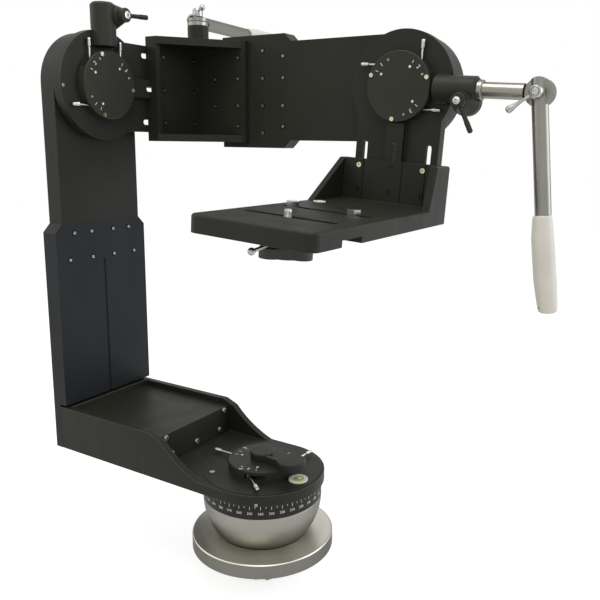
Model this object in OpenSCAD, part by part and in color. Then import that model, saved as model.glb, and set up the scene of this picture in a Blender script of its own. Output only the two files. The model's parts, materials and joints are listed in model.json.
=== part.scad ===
// Three-axis fluid head: a half ball in a bowl flange carries the pan unit and a lower arm,
// and two like sleeved arms carry like roll and tilt drag units, with a camera platform.
// Origin on the pan axis at the underside of the bowl flange, millimetres, +Z up.

/* [Base] */
// Diameter of the bowl flange
flange_d = 180; // [172:1:200]
// Height of the bowl flange
flange_h = 18; // [14:1:20]
// Diameter of the half ball and the degree ring
ball_d = 150; // [146:1:154]
// Height of the ball's centre
ball_z = 68; // [66:0.5:70]
// Height of the degree ring
ring_h = 18; // [15:1:22]
// Wall of the degree ring
ring_wall = 13; // [9:1:15]
// Diameter of the fixed pan spindle
spindle_d = 24; // [20:1:28]
// Diameter of the tie-down stud
tie_stud_d = 10; // [8:1:12]
// Diameter of the tie-down cup
tie_cup_d = 76; // [70:1:80]
// Diameter of the tie-down knob
tie_knob_d = 46; // [40:1:54]
// Height of the tie-down knob
tie_knob_h = 22; // [16:1:28]
// Reach of the tie-down below the flange
tie_drop = 46; // [40:1:60]
// Diameter of the tapped holes under the flange
base_hole_d = 8.5; // [6.8:0.1:10.2]
// Depth of the tapped holes under the flange
base_hole_depth = 12; // [8:1:13]
// Diameter of the circle of the tapped holes
base_hole_circle = 150; // [142:1:156]

/* [Lower arm] */
// Width of the lower arm and of both sleeves
sleeve_w = 157; // [154:1:160]
// Thickness of the pan housing's floor with its plate
floor_t = 14.5; // [13:0.5:18]
// Thickness of the round pan plate
pan_plate_t = 7; // [5:0.5:8]
// Diameter of the round pan plate
pan_plate_d = 150; // [140:1:152]
// Height of the side walls above the plate
wall_h = 45; // [40:1:50]
// Thickness of the side walls
wall_t = 9; // [7:0.5:11]
// Distance from the pan axis to the column's front face
column_x = 272; // [262:1:282]
// Distance from the pan axis to the seam of the pan housing
seam_x = 131; // [126:1:136]
// Distance from the pan axis to the cover's end face
cover_end_x = 110; // [106:1:114]
// Sheet thickness of the cover
cover_t = 4; // [3:0.5:5]
// Diameter of the spirit level on the pan housing
pan_level_d = 24; // [18:1:26]
// Thickness of the pan lock lever
lock_h = 10; // [8:0.5:14]
// Reach of the pan lock lever
lock_reach = 46; // [40:1:52]

/* [Arms] */
// Thickness of the sleeves and arms
arm_t = 24; // [22:0.5:27]
// Width of the arms
arm_w = 135; // [130:1:140]
// Length of each arm from its sleeve to its axis
arm_len = 178.5; // [170:0.5:190]
// Height of the column sleeve's top
sleeve_top_z = 396; // [380:1:412]
// Length of the tilt sleeve
tilt_sleeve_l = 121; // [112:1:130]
// Corner chamfer of the sleeves
sleeve_chamfer = 11; // [8:0.5:14]
// Length of the tongue inside a sleeve
tongue_l = 66; // [60:1:70]
// Width of the tongue
tongue_w = 130; // [126:1:133]
// Thickness of the tongue
tongue_t = 10; // [8:0.5:12]

/* [Drag units] */
// Gap between an arm and its turning plate
unit_gap = 2.6; // [2:0.1:4]
// Thickness of the turning plate
plate_t = 14; // [11:0.5:16]
// Diameter of the turning plate
plate_d = 140; // [136:1:146]
// Width of the plate's tail
tail_w = 117; // [112:1:122]
// Length of the roll plate's tail
roll_tail_l = 186; // [182:0.5:188]
// Length of the tilt plate's tail
tilt_tail_l = 158; // [156:1:161]
// Width of the three tail slots
tail_slot_w = 7; // [6.6:0.1:8]
// Spacing of the tail slots
tail_slot_x = 45; // [42:0.5:47]
// Distance from the axis to the start of the tail slots
tail_slot_start = 69; // [66:0.5:74]
// Width of the tail's middle rib
rib_w = 24; // [20:1:28]
// Height of the tail's middle rib
rib_h = 8; // [6:0.5:9]
// Diameter of the dials
dial_d = 86.6; // [84:0.2:90]
// Height of the dials
dial_h = 11.8; // [10:0.2:14]
// Diameter of the roll and tilt shafts
shaft_d = 30; // [26:1:34]
// Outside diameter of the roll and tilt bearings
bearing_d = 52; // [46:1:58]
// Width of the roll and tilt bearings
bearing_t = 9; // [7:0.5:10]
// Diameter of the drag chamber in an arm
chamber_d = 112; // [104:1:118]
// Depth of the drag chamber in an arm
chamber_depth = 12; // [10:0.5:12.5]
// Length of the drag levers from pivot to tip
drag_lever_l = 31; // [27:0.5:33]
// Length of the pan drag levers
pan_lever_l = 41; // [36:0.5:43]
// Diameter of the drag levers' rods
drag_rod_d = 2.6; // [2:0.1:3.2]
// Diameter of the drag levers' tips
drag_tip_d = 4.6; // [3.6:0.1:5]
// Distance of the drag levers' pivots from the axis
drag_pivot_r = 36.8; // [36:0.1:37.6]

/* [Bar sockets] */
// Outside diameter of the bar sockets
socket_d = 32; // [29:0.5:34]
// Distance from the axis to a socket's inner end
socket_start = 48.8; // [47:0.2:51]
// Distance from the axis to a socket's mouth
socket_end = 102.5; // [99:0.5:106]
// Distance of the socket's line from the arm's face
socket_w = 20; // [19:0.1:22]
// Diameter of the bars and handle tubes
bar_d = 19; // [18:0.1:20]
// Clearance of a bar in its socket all round
bar_fit = 0.05; // [0.03:0.01:0.1]
// Diameter of the split clamp boss on a socket
ear_d = 34; // [31:0.5:35]
// Length of the clamp levers
clamp_lever_l = 41; // [34:1:46]

/* [Tilt side] */
// Distance of the tilt arm's face from the pan axis
arm_face_y = 179.4; // [174:0.2:186]
// Nose-down angle of the platform as set up
tilt_rest = 3.5; // [-10:0.5:10]
// Thickness of the corner bracket's floor
bracket_t = 12; // [11:0.5:14]
// Half height of the corner bracket
bracket_half_h = 71; // [67:0.1:73]
// Start of the corner bracket across from the pan axis
bracket_start_y = 77.5; // [75:0.5:80]
// Thickness of the corner bracket's webs
web_t = 10; // [7:0.5:11]
// Length of the corner block along the tilt arm
corner_l = 54.4; // [52:0.2:58]

/* [Platform] */
// Width of the platform
platform_w = 151; // [148:1:156]
// Distance of the platform's top below the tilt axis
platform_drop = 144.7; // [142:0.5:148]
// Thickness of the platform
platform_t = 19; // [17:0.5:22]
// Reach of the platform from the turning plate
platform_l = 309.8; // [290:0.2:320]
// Corner radius of the platform
platform_r = 12; // [8:1:18]
// Height of the platform's wall above its top
platform_wall_h = 52.7; // [48:0.1:53.5]
// Thickness of the platform's wall
platform_wall_t = 12.9; // [11.5:0.1:14]
// Length of the camera slots
slot_l = 116; // [108:1:124]
// Width of the camera slots
slot_w = 10.6; // [10:0.1:12]
// Distance of the front slot ahead of the pan axis
front_slot_y = 75; // [70:1:80]
// Diameter of the camera screw
camera_screw_d = 9.5; // [9.2:0.05:9.7]
// Height of the camera screw above the platform
camera_screw_h = 10; // [6:0.5:14]
// Diameter of the camera screw's knob
camera_knob_d = 61; // [50:1:64]
// Height of the camera screw's knob
camera_knob_h = 15.5; // [12:0.5:18]

/* [Handles] */
// Distance from the tilt axis to the front rosette
rosette_u = 174.5; // [168:0.5:180]
// Diameter of the rosette knuckles
knuckle_d = 32; // [29:0.5:34]
// Thickness of each rosette knuckle
knuckle_t = 12; // [10:0.5:13]
// Lean of the front handle away from straight down
handle_lean = 9.4; // [0:0.2:12]
// Length of the handle tubes
handle_tube_l = 139; // [120:1:150]
// Length of the grips
grip_l = 115; // [100:1:126]
// Largest diameter of the grips
grip_d = 27; // [25:0.5:30]
// Diameter of the rear post
post_d = 32; // [29:0.5:34]
// Turn of the rear handle away from the tilt arm
rear_turn = 5; // [-20:1:30]
// Height of the rear post's top above the roll axis
post_rise = 102.5; // [96:0.5:108]

/* [Hidden] */
$fn = 96;
running = 0.05;
seated = 0.03;
air = 0.3;
screw_d = 4.8;
screw_head_d = 6.6;
screw_hex = 3.6;
screw_head_h = 4;
screw_proud = 0.6;
screw_len = 14;
dial_screw_d = 5.4;
pan_screw_sink = 1.3;
sheet_screw_d = 4;

// Heights of the pan unit
arm_z0 = ball_z + ring_h + 0.5;
pan_face_z = arm_z0 + floor_t;
wall_top_z = pan_face_z + wall_h;
pan_seat_z = pan_face_z - pan_plate_t;
floor_step = 0.8;
floor_screw = [-43, -47.5];
pan_level_at = [58, -6];
cover_screws = [[-58, wall_top_z - 12], [58, wall_top_z - 12], [-47.6, pan_face_z + 8],
  [0, pan_face_z + 8], [47.6, pan_face_z + 8]];

// Planes of the column and the roll unit
half_w = sleeve_w / 2;
face_x = -column_x;
joint_x = face_x - arm_t / 2;
sleeve_foot_z = wall_top_z + 3.5;
axis_z = sleeve_top_z + arm_len;
plate_w = unit_gap + plate_t;
dial_w = plate_w + dial_h;
rib_top_w = plate_w + rib_h;

// Planes of the corner bracket and the tilt unit
bracket_x0 = face_x + plate_w;
bracket_x1 = bracket_x0 + bracket_t;
bracket_wall = 7.4;
bracket_x2 = bracket_x1 + bracket_wall;
flange_t = 8;
corner_x = bracket_x0 + corner_l;
sleeve_end_x = corner_x + tilt_sleeve_l;
bracket_lip = 47;
bracket_end_x = corner_x + bracket_lip;
tilt_x = sleeve_end_x + arm_len;
block_y1 = arm_face_y + arm_t;

// Drag lever pivots, resting directions and other ends of travel, in degrees
pivot_at = [135, 45, -45];
tilt_dir = [180, 90, 0];
tilt_far = [90, 0, -90];
roll_dir = [90, 0, 0];
roll_far = [180, 90, -90];
pan_pivot_at = [180, 38, -83];
pan_dir = [180, 90, 0];
pan_far = [120, 30, -60];
pan_rest = [180, 85, -37];
lever_w = 4.5;
lever_hub_d = 6.8;
lever_hub_h = 5;
notch_h = 6;
pin_d = 3;
screw_angles = [18, 162, 264];
screw_circle = dial_d / 2 - 3.4;

// Split clamp of a bar socket, and the bar's bore beyond the plate's rim
rim_u = plate_d / 2 + air;
bore_start = rim_u + 1.7;
clamp_u = socket_end - 15;
clamp_v = -14;
ear_w0 = socket_w - 12;
ear_w = socket_w + 20;
tilt_clamp_angle = -61;
roll_clamp_angle = -86;
clamp_stud_d = 6;
clamp_hub_d = 18;
clamp_hub_h = 8;
foot_half = 18;
foot_t = 5;
collar_d = bar_d + 5;

// Screw rows of a sleeve, as distance from the end and distances across
leg_far = 34;
leg_near = 8;
leg_outer = 48;
leg_inner = 19;
plate_bite = 9;
sleeve_bite = 8;
bracket_col_gap = 31;
bracket_col_end = 23;
tail_room = 12;
sleeve_rows = [[13.3, 48], [13.3, 19], [48.6, 57], [48.6, 19]];
bracket_cols = [tail_slot_start + bracket_col_gap, roll_tail_l - bracket_col_end];
leg_screws = [[corner_x + leg_far, leg_outer], [corner_x + leg_far, leg_inner],
  [corner_x - leg_near, leg_inner]];

// Platform levels in the tilt unit's frame
plat_top = -platform_drop;
plat_bottom = plat_top - platform_t;
wall_w1 = plate_w + platform_wall_t;
wall_top = plat_top + platform_wall_h;
plat_end = plate_w + platform_l;
front_slot_w = arm_face_y + front_slot_y;
rear_slot_w = arm_face_y;
groove_half = 20;
groove_depth = 7;
bolt_rows = [-100, -131.5];
bolt_cols = [-tail_slot_x, 0, tail_slot_x];
hex_at = [-46, 34];
camera_u = -2;
camera_shank_d = camera_screw_d - 0.5;
camera_lever_t = 7;
camera_lever_top = plat_bottom - 0.2;
knob_top = camera_lever_top - camera_lever_t - 0.6;
platform_level_at = [-54, 108];
platform_level_d = 16;

// Half-lapped rosettes of the handles
knuckle_gap = knuckle_d / 2 + 1;
front_lever_angle = 217;
rear_lever_angle = -38;
rosette_hub_d = 16;
rosette_hub_h = 8;
rosette_bolt_d = 8;
post_x = bracket_x0 - post_d / 2;
post_foot_y = roll_tail_l + 6;
post_y = roll_tail_l + 5.4 + post_d / 2;
post_z0 = axis_z - 14;
post_top_z = axis_z + post_rise;
rear_eye_t = 6;
rear_joint_z = post_top_z + rear_eye_t;

metal_black = [0.16, 0.16, 0.15];
metal_blue_black = [0.13, 0.14, 0.16];
metal_silver = [0.72, 0.72, 0.70];
metal_steel = [0.6, 0.6, 0.62];
metal_brass = [0.78, 0.72, 0.52];
grip_cream = [0.82, 0.79, 0.73];
level_cream = [0.85, 0.82, 0.66];
knob_black = [0.1, 0.1, 0.1];

// Frame of the roll unit: x to +Y, y up, z out of the column's front face
module at_roll() {
  translate([face_x, 0, axis_z]) rotate([90, 0, 90]) children();
}

// The roll unit is a tilt unit given a quarter turn
module at_roll_unit() {
  at_roll() rotate([0, 0, 90]) children();
}

// Frame of the tilt arm: x to +X, y up, z out of its face towards -Y
module at_tilt_axis() {
  translate([tilt_x, arm_face_y, axis_z]) rotate([90, 0, 0]) children();
}

// Frame of the tilt unit, turned to the set-up angle
module at_tilt() {
  translate([tilt_x, arm_face_y, axis_z]) rotate([0, tilt_rest, 0]) rotate([90, 0, 0]) children();
}

// Frame of the pan unit: the plate's face is at plate_w
module at_pan() {
  translate([0, 0, pan_face_z - plate_w]) children();
}

// Frames of the sleeve ends: x across, y along the arm, z out of the face
module at_column_joint() {
  translate([face_x, 0, sleeve_top_z]) rotate([90, 0, 90]) children();
}

module at_tilt_joint() {
  translate([sleeve_end_x, arm_face_y, axis_z]) rotate([90, 0, 0]) rotate([0, 0, -90]) children();
}

// Cylinder with a chamfer at its top edge
module chamfered(d, h, c) {
  cylinder(d = d, h = h - c);
  translate([0, 0, h - c]) cylinder(d1 = d, d2 = d - 2 * c, h = c);
}

// Tube along z
module tube(d_out, d_in, h) {
  difference() {
    cylinder(d = d_out, h = h);
    translate([0, 0, -1]) cylinder(d = d_in, h = h + 2);
  }
}

// Round-ended slot along y between two centres
module slot_y(x, y0, y1, w, h) {
  translate([x - w / 2, y0, 0]) cube([w, y1 - y0, h]);
  translate([x, y0, 0]) cylinder(d = w, h = h);
  translate([x, y1, 0]) cylinder(d = w, h = h);
}

// Round-ended slot along x, cut through a plate that lies across y
module slot_x(half, w, h) {
  translate([-half, 0, -w / 2]) cube([2 * half, h, w]);
  translate([-half, 0, 0]) rotate([-90, 0, 0]) cylinder(d = w, h = h);
  translate([half, 0, 0]) rotate([-90, 0, 0]) cylinder(d = w, h = h);
}

// Socket head screw whose head stands a little out of the face at z = 0
module cap_screw(len) {
  difference() {
    translate([0, 0, screw_proud - screw_head_h]) cylinder(d = screw_head_d, h = screw_head_h);
    translate([0, 0, screw_proud - 2]) cylinder(d = screw_hex, h = 3, $fn = 6);
  }
  translate([0, 0, -len]) cylinder(d = screw_d, h = len + screw_proud - screw_head_h);
}

// Hole and counterbore for such a screw
module screw_hole(len) {
  translate([0, 0, screw_proud - screw_head_h]) cylinder(d = screw_head_d + 0.6, h = screw_head_h + 1);
  translate([0, 0, -len - 0.5]) cylinder(d = screw_d + 2 * seated, h = len + 1);
}

// Slotted round head screw seated in a shallow pocket
module dial_screw() {
  difference() {
    translate([0, 0, -1.2]) cylinder(d = dial_screw_d, h = 2.2);
    translate([-4, -0.4, 0.2]) cube([8, 0.8, 2]);
  }
  translate([0, 0, -7]) cylinder(d = 3, h = 5.8);
}

module dial_screw_hole() {
  translate([0, 0, -1.2]) cylinder(d = dial_screw_d + 0.3, h = 3);
  translate([0, 0, -7.5]) cylinder(d = 3 + 2 * seated, h = 7);
}

module dial_screws(sink) {
  for (a = screw_angles)
    rotate([0, 0, a]) translate([screw_circle, 0, dial_w - sink]) rotate([0, 0, 40]) dial_screw();
}

// Drag unit parts shared by the roll and tilt sides

// Turning plate with its slotted tail and middle rib
module unit_plate(tail_l) {
  slot_lip = 5;
  slot_foot = 8 + tail_slot_w / 2 - tail_l;
  slot_head = -tail_slot_start - tail_slot_w / 2;
  difference() {
    union() {
      translate([0, 0, unit_gap]) cylinder(d = plate_d, h = plate_t);
      translate([-tail_w / 2, -tail_l, unit_gap]) cube([tail_w, tail_l, plate_t]);
      translate([-rib_w / 2, -tail_l, plate_w - 1])
        cube([rib_w, tail_l - dial_d / 2 - 1, rib_h + 1]);
    }
    cylinder(d = shaft_d + 2 * seated, h = plate_w + 1);
    for (x = [-tail_slot_x, 0, tail_slot_x])
      slot_y(x, slot_foot, slot_head, tail_slot_w, rib_top_w + 1);
    for (x = [-tail_slot_x, tail_slot_x])
      slot_y(x, slot_foot, slot_head, 2 * tail_slot_w, plate_w - slot_lip);
  }
}

// Shaft with a retaining collar behind the arm
module unit_shaft() {
  translate([0, 0, -arm_t - 7]) chamfered(shaft_d + 14, 7 - air, 1);
  translate([0, 0, -arm_t - 7]) cylinder(d = shaft_d, h = arm_t + 7 + plate_w);
}

module unit_bearing() {
  translate([0, 0, -arm_t + 1.5 + seated]) tube(bearing_d, shaft_d + 2 * running, bearing_t);
}

// Three drag discs on a hub between the chamber's floor and the plate
module unit_discs() {
  difference() {
    union() {
      translate([0, 0, 0.5 - chamber_depth]) cylinder(d = shaft_d + 10, h = chamber_depth - 0.5 + unit_gap);
      for (i = [0 : 2])
        translate([0, 0, 0.5 - chamber_depth + i * 4]) cylinder(d = chamber_d - 4, h = 1.6);
    }
    translate([0, 0, -chamber_depth]) cylinder(d = shaft_d + 2 * seated, h = chamber_depth + unit_gap + 1);
  }
}

// Chamber and bearing seat cut in an arm at its axis
module unit_chamber() {
  translate([0, 0, -chamber_depth]) cylinder(d = chamber_d, h = chamber_depth + 1);
  translate([0, 0, -arm_t + 1.5]) cylinder(d = bearing_d + 2 * seated, h = arm_t);
  translate([0, 0, -arm_t - 1]) cylinder(d = shaft_d + 4, h = arm_t);
}

// Opening in a dial's side in which a lever swings between two directions
module lever_notch(at, d0, d1) {
  lo = min(d0, d1);
  hi = max(d0, d1);
  mid = (lo + hi) / 2;
  r = lever_hub_d / 2 + 0.8;
  notch_reach = 60;
  p = drag_pivot_r * [cos(at), sin(at)];
  a = p + r * [cos(lo - 90), sin(lo - 90)];
  b = p + r * [cos(hi + 90), sin(hi + 90)];
  translate([0, 0, plate_w + lever_w - notch_h / 2]) {
    linear_extrude(height = notch_h)
      polygon([p, a, a + notch_reach * [cos(lo), sin(lo)], p + 1.5 * notch_reach * [cos(mid), sin(mid)],
        b + notch_reach * [cos(hi), sin(hi)], b]);
    translate([p[0], p[1], 0]) cylinder(r = r, h = notch_h);
  }
}

// Dial with lever openings, pivot pins and screw seats
module unit_dial(ats, dirs, fars, sink) {
  difference() {
    translate([0, 0, plate_w]) chamfered(dial_d, dial_h, 0.8);
    for (i = [0 : 2]) lever_notch(ats[i], dirs[i], fars[i]);
    for (a = screw_angles)
      rotate([0, 0, a]) translate([screw_circle, 0, dial_w - sink]) dial_screw_hole();
  }
  for (i = [0 : 2])
    rotate([0, 0, ats[i]]) translate([drag_pivot_r, 0, plate_w + lever_w - notch_h / 2 - 1])
      cylinder(d = pin_d, h = notch_h + 2);
}

// Drag lever on its pivot, lying along its resting direction
module drag_lever(at, dir, l) {
  p = drag_pivot_r * [cos(at), sin(at)];
  translate([p[0], p[1], plate_w + lever_w]) rotate([0, 0, dir]) difference() {
    union() {
      translate([0, 0, -lever_hub_h / 2]) cylinder(d = lever_hub_d, h = lever_hub_h);
      rotate([0, 90, 0]) cylinder(d = drag_rod_d, h = l - 6);
      translate([l - 11, 0, 0]) rotate([0, 90, 0]) chamfered(drag_tip_d, 11, 1);
    }
    translate([0, 0, -lever_hub_h]) cylinder(d = pin_d + 2 * running, h = 2 * lever_hub_h);
  }
}

// Bar socket: a barrel over the plate's rim, a foot on the plate and a split clamp boss
module unit_socket() {
  slit = 1.2;
  difference() {
    union() {
      translate([socket_start, 0, socket_w]) rotate([0, 90, 0])
        chamfered(socket_d, socket_end - socket_start, 3);
      translate([socket_start, -foot_half, plate_w])
        cube([rim_u - socket_start - 6, 2 * foot_half, foot_t]);
      translate([clamp_u, clamp_v, ear_w0]) cylinder(d = ear_d, h = socket_w - ear_w0);
      translate([clamp_u, clamp_v, socket_w])
        cylinder(d1 = ear_d, d2 = clamp_hub_d + 1, h = ear_w - socket_w);
    }
    translate([socket_start - 1, -socket_d, 0]) cube([rim_u + 1 - socket_start, 2 * socket_d, plate_w]);
    translate([bore_start, 0, socket_w]) rotate([0, 90, 0])
      cylinder(d = bar_d + 2 * bar_fit, h = socket_end);
    translate([socket_end, 0, socket_w]) rotate([0, 90, 0]) cylinder(d = collar_d + 2, h = ear_d);
    translate([clamp_u, clamp_v, ear_w0 - 1]) cylinder(d = clamp_stud_d + 2 * running, h = ear_w);
    translate([clamp_u - ear_d / 2 + 3, clamp_v - ear_d, socket_w - slit / 2])
      cube([2 * ear_d, ear_d + 5, slit]);
  }
}

// Clamp lever on the boss with its stud
module unit_clamp(angle) {
  tip_l = 14;
  translate([clamp_u, clamp_v, ear_w + air]) {
    chamfered(clamp_hub_d, clamp_hub_h, 1);
    translate([0, 0, ear_w0 + 2 - ear_w]) cylinder(d = clamp_stud_d, h = ear_w - ear_w0 - 1);
    translate([0, 0, clamp_hub_h / 2]) rotate([0, 0, angle]) rotate([0, 90, 0]) {
      cylinder(d = 5.6, h = clamp_lever_l - tip_l + 1);
      translate([0, 0, clamp_lever_l - tip_l]) chamfered(6.4, tip_l, 1.5);
    }
  }
}

// Ball ended lever with its stud, seated on a knuckle's face at z = 0
module rosette_clamp(angle, stud_l) {
  reach = 34;
  translate([0, 0, -stud_l]) cylinder(d = rosette_bolt_d, h = stud_l + 1);
  translate([0, 0, air]) {
    chamfered(rosette_hub_d, rosette_hub_h, 1);
    translate([0, 0, rosette_hub_h / 2]) rotate([0, 0, angle]) {
      rotate([0, 90, 0]) cylinder(d = 4, h = reach);
      translate([reach, 0, 0]) sphere(d = 9);
    }
    difference() {
      translate([0, 0, rosette_hub_h - 1]) cylinder(d = rosette_bolt_d + 1.6, h = 3);
      translate([0, 0, rosette_hub_h]) cylinder(d = 5, h = 3, $fn = 6);
    }
  }
}

// Base and ball

module bowl_flange() {
  color(metal_silver) difference() {
    chamfered(flange_d, flange_h, 1.5);
    translate([0, 0, ball_z]) sphere(d = ball_d + 2 * air);
    for (a = [45 : 90 : 315])
      rotate([0, 0, a]) translate([base_hole_circle / 2, 0, -1])
        cylinder(d = base_hole_d, h = base_hole_depth + 1);
  }
}

module half_ball() {
  spindle_foot_z = ball_z - 32;
  color(metal_silver) difference() {
    intersection() {
      translate([0, 0, ball_z]) sphere(d = ball_d);
      translate([0, 0, 6]) cylinder(d = ball_d + 2, h = ball_z - 6);
    }
    translate([0, 0, spindle_foot_z]) cylinder(d = spindle_d + 2 * seated, h = ball_z);
    translate([0, 0, -1]) cylinder(d = tie_stud_d + 2 * running, h = 29);
  }
}

module scale_ring() {
  color(metal_black) translate([0, 0, ball_z]) tube(ball_d, ball_d - 2 * ring_wall, ring_h);
}

// Spindle with a shoulder under the bearing and a nut above it
module pan_spindle() {
  color(metal_steel) {
    translate([0, 0, ball_z - 32]) cylinder(d = spindle_d, h = pan_seat_z + 4 - ball_z + 32);
    translate([0, 0, ball_z]) cylinder(d = spindle_d + 6, h = ring_h + 0.2);
    translate([0, 0, pan_seat_z + air]) cylinder(d = spindle_d + 8, h = 5);
  }
}

module pan_drag_discs() {
  color(metal_steel) translate([0, 0, ball_z]) difference() {
    union() {
      cylinder(d = spindle_d + 14, h = ring_h - 1);
      for (i = [0 : 2])
        translate([0, 0, 3 + i * (ring_h - 6) / 3]) cylinder(d = ball_d - 2 * ring_wall - 6, h = 1.6);
    }
    translate([0, 0, -1]) cylinder(d = spindle_d + 6 + 2 * seated, h = ring_h + 1);
  }
}

// Tie-down stud with a cup and a scalloped knob
module tie_down() {
  scallops = 6;
  color(knob_black) {
    translate([0, 0, -tie_drop]) cylinder(d = tie_stud_d, h = tie_drop + 26);
    translate([0, 0, -9]) cylinder(d1 = tie_cup_d - 16, d2 = tie_cup_d, h = 4);
    translate([0, 0, -tie_drop + tie_knob_h - 1]) cylinder(d = 24, h = tie_drop - tie_knob_h - 7);
    translate([0, 0, -tie_drop]) difference() {
      chamfered(tie_knob_d, tie_knob_h, 2);
      for (i = [0 : scallops - 1])
        rotate([0, 0, i * 360 / scallops]) translate([tie_knob_d / 2 + 4, 0, -1])
          cylinder(d = 16, h = tie_knob_h + 2);
    }
  }
}

// Pan housing with its two low walls that sweep up to the lower arm
module housing_wall() {
  x0 = -seam_x;
  x1 = -seam_x + 12;
  x2 = -seam_x + 30;
  x3 = -41;
  z2 = wall_top_z - 7;
  sweep_r = 150;
  chord = [x3 - x2, pan_face_z - floor_step - z2];
  half = norm(chord) / 2;
  along = chord / (2 * half);
  centre = [(x2 + x3) / 2, (z2 + pan_face_z - floor_step) / 2]
    + sqrt(sweep_r * sweep_r - half * half) * [-along[1], along[0]];
  difference() {
    rotate([90, 0, 0]) linear_extrude(height = wall_t)
      polygon([[x0, arm_z0], [x0, wall_top_z], [x1, wall_top_z], [x2, z2],
        [x3, pan_face_z - floor_step], [x3, arm_z0]]);
    translate([centre[0], 1, centre[1]]) rotate([90, 0, 0]) cylinder(r = sweep_r, h = wall_t + 2);
  }
}

module pan_housing() {
  floor_h = floor_t - floor_step;
  color(metal_black) difference() {
    union() {
      translate([0, 0, arm_z0]) cylinder(d = sleeve_w, h = floor_h);
      translate([-seam_x, -half_w, arm_z0]) cube([seam_x, sleeve_w, floor_h]);
      translate([0, half_w, 0]) housing_wall();
      translate([0, -half_w + wall_t, 0]) housing_wall();
    }
    translate([0, 0, pan_seat_z]) cylinder(d = pan_plate_d + 2 * seated, h = pan_plate_t + wall_h);
    translate([0, 0, arm_z0 - 1]) cylinder(d = spindle_d + 20 + 2 * seated, h = floor_t + 2);
  }
}

module pan_plate() {
  color(metal_black) difference() {
    translate([0, 0, pan_seat_z]) cylinder(d = pan_plate_d, h = pan_plate_t);
    translate([0, 0, pan_seat_z - 1]) cylinder(d = spindle_d + 10, h = pan_plate_t + 2);
    translate([floor_screw[0], floor_screw[1], pan_face_z]) screw_hole(5);
    translate([pan_level_at[0], pan_level_at[1], pan_face_z - 2])
      cylinder(d = pan_level_d + 2 * seated, h = 4);
  }
}

module pan_bearing() {
  color(metal_steel) translate([0, 0, arm_z0 + 0.2])
    tube(spindle_d + 20, spindle_d + 2 * running, pan_seat_z - arm_z0 - 0.4);
}

// Lower arm box with ledges that carry the cover
module lower_arm() {
  ledge = 4;
  ledge_z = wall_top_z - 8 - cover_t;
  color(metal_black) difference() {
    translate([joint_x, -half_w, arm_z0]) cube([-seam_x - joint_x, sleeve_w, wall_top_z - arm_z0]);
    translate([joint_x + 14, -half_w + wall_t + ledge, arm_z0 + floor_t])
      cube([column_x, sleeve_w - 2 * wall_t - 2 * ledge, wall_h + 1]);
    translate([joint_x + 14, -half_w + wall_t, ledge_z])
      cube([column_x, sleeve_w - 2 * wall_t, wall_h]);
  }
}

// Cover of the lower arm, folded down to an end face with five screws
module arm_cover() {
  cover_z = wall_top_z - 8;
  half = half_w - wall_t - 0.2;
  color(metal_blue_black) difference() {
    union() {
      translate([joint_x + 14 + 0.2, -half, cover_z - cover_t])
        cube([-cover_end_x - joint_x - 14 - 0.2, 2 * half, cover_t]);
      translate([-cover_end_x - cover_t, -half, pan_face_z + 0.2])
        cube([cover_t, 2 * half, cover_z - pan_face_z - 0.2]);
    }
    for (p = cover_screws)
      translate([-cover_end_x, p[0], p[1]]) rotate([0, 90, 0]) translate([0, 0, -cover_t - 1])
        cylinder(d = sheet_screw_d + 2 * seated, h = cover_t + 2);
  }
}

// Round head screw for sheet
module sheet_screw() {
  translate([0, 0, -cover_t - 0.5]) cylinder(d = sheet_screw_d, h = cover_t + 1);
  difference() {
    chamfered(7.5, 2.4, 0.8);
    translate([0, 0, 1]) cylinder(d = 3.4, h = 3, $fn = 6);
  }
}

module pan_screws() {
  color(metal_steel) {
    at_column_joint() sleeve_screws();
    for (p = cover_screws) translate([-cover_end_x, p[0], p[1]]) rotate([0, 90, 0]) sheet_screw();
    translate([floor_screw[0], floor_screw[1], pan_face_z]) cap_screw(5);
    at_pan() dial_screws(pan_screw_sink);
  }
}

module sleeve_screws() {
  for (row = sleeve_rows, s = [-1, 1])
    translate([s * row[1], -row[0], 0]) cap_screw(screw_len);
}

module sleeve_holes() {
  for (row = sleeve_rows, s = [-1, 1])
    translate([s * row[1], -row[0], 0]) screw_hole(screw_len);
}

// Sleeve with chamfered end corners and a pocket for the arm's tongue
module sleeve(len) {
  c = sleeve_chamfer;
  difference() {
    translate([0, 0, -arm_t]) linear_extrude(height = arm_t)
      polygon([[-half_w, -len], [half_w, -len], [half_w, -c], [half_w - c, 0],
        [c - half_w, 0], [-half_w, -c]]);
    translate([-tongue_w / 2 - seated, -tongue_l - 0.4, -(arm_t + tongue_t) / 2 - seated])
      cube([tongue_w + 2 * seated, tongue_l + 1, tongue_t + 2 * seated]);
    sleeve_holes();
  }
}

// Arm with a tongue at one end and a drag chamber at its round end
module arm() {
  difference() {
    union() {
      translate([-arm_w / 2, 0, -arm_t]) cube([arm_w, arm_len, arm_t]);
      translate([0, arm_len, -arm_t]) cylinder(d = arm_w, h = arm_t);
      translate([-tongue_w / 2, -tongue_l, -(arm_t + tongue_t) / 2])
        cube([tongue_w, tongue_l + 1, tongue_t]);
    }
    translate([0, arm_len, 0]) unit_chamber();
    sleeve_holes();
  }
}

module column_sleeve() {
  groove_w = 6;
  groove_stop = 52;
  color(metal_blue_black) difference() {
    at_column_joint() sleeve(sleeve_top_z - arm_z0);
    translate([joint_x, -half_w - 1, arm_z0 - 1]) cube([arm_t, sleeve_w + 2, sleeve_foot_z - arm_z0 + 1]);
    translate([face_x - 1.5, -groove_w / 2, sleeve_foot_z - 1])
      cube([3, groove_w, sleeve_top_z - groove_stop - sleeve_foot_z]);
  }
}

module column_arm() {
  color(metal_black) at_column_joint() arm();
}

module roll_bearing() {
  color(metal_steel) at_roll() unit_bearing();
}

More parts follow.
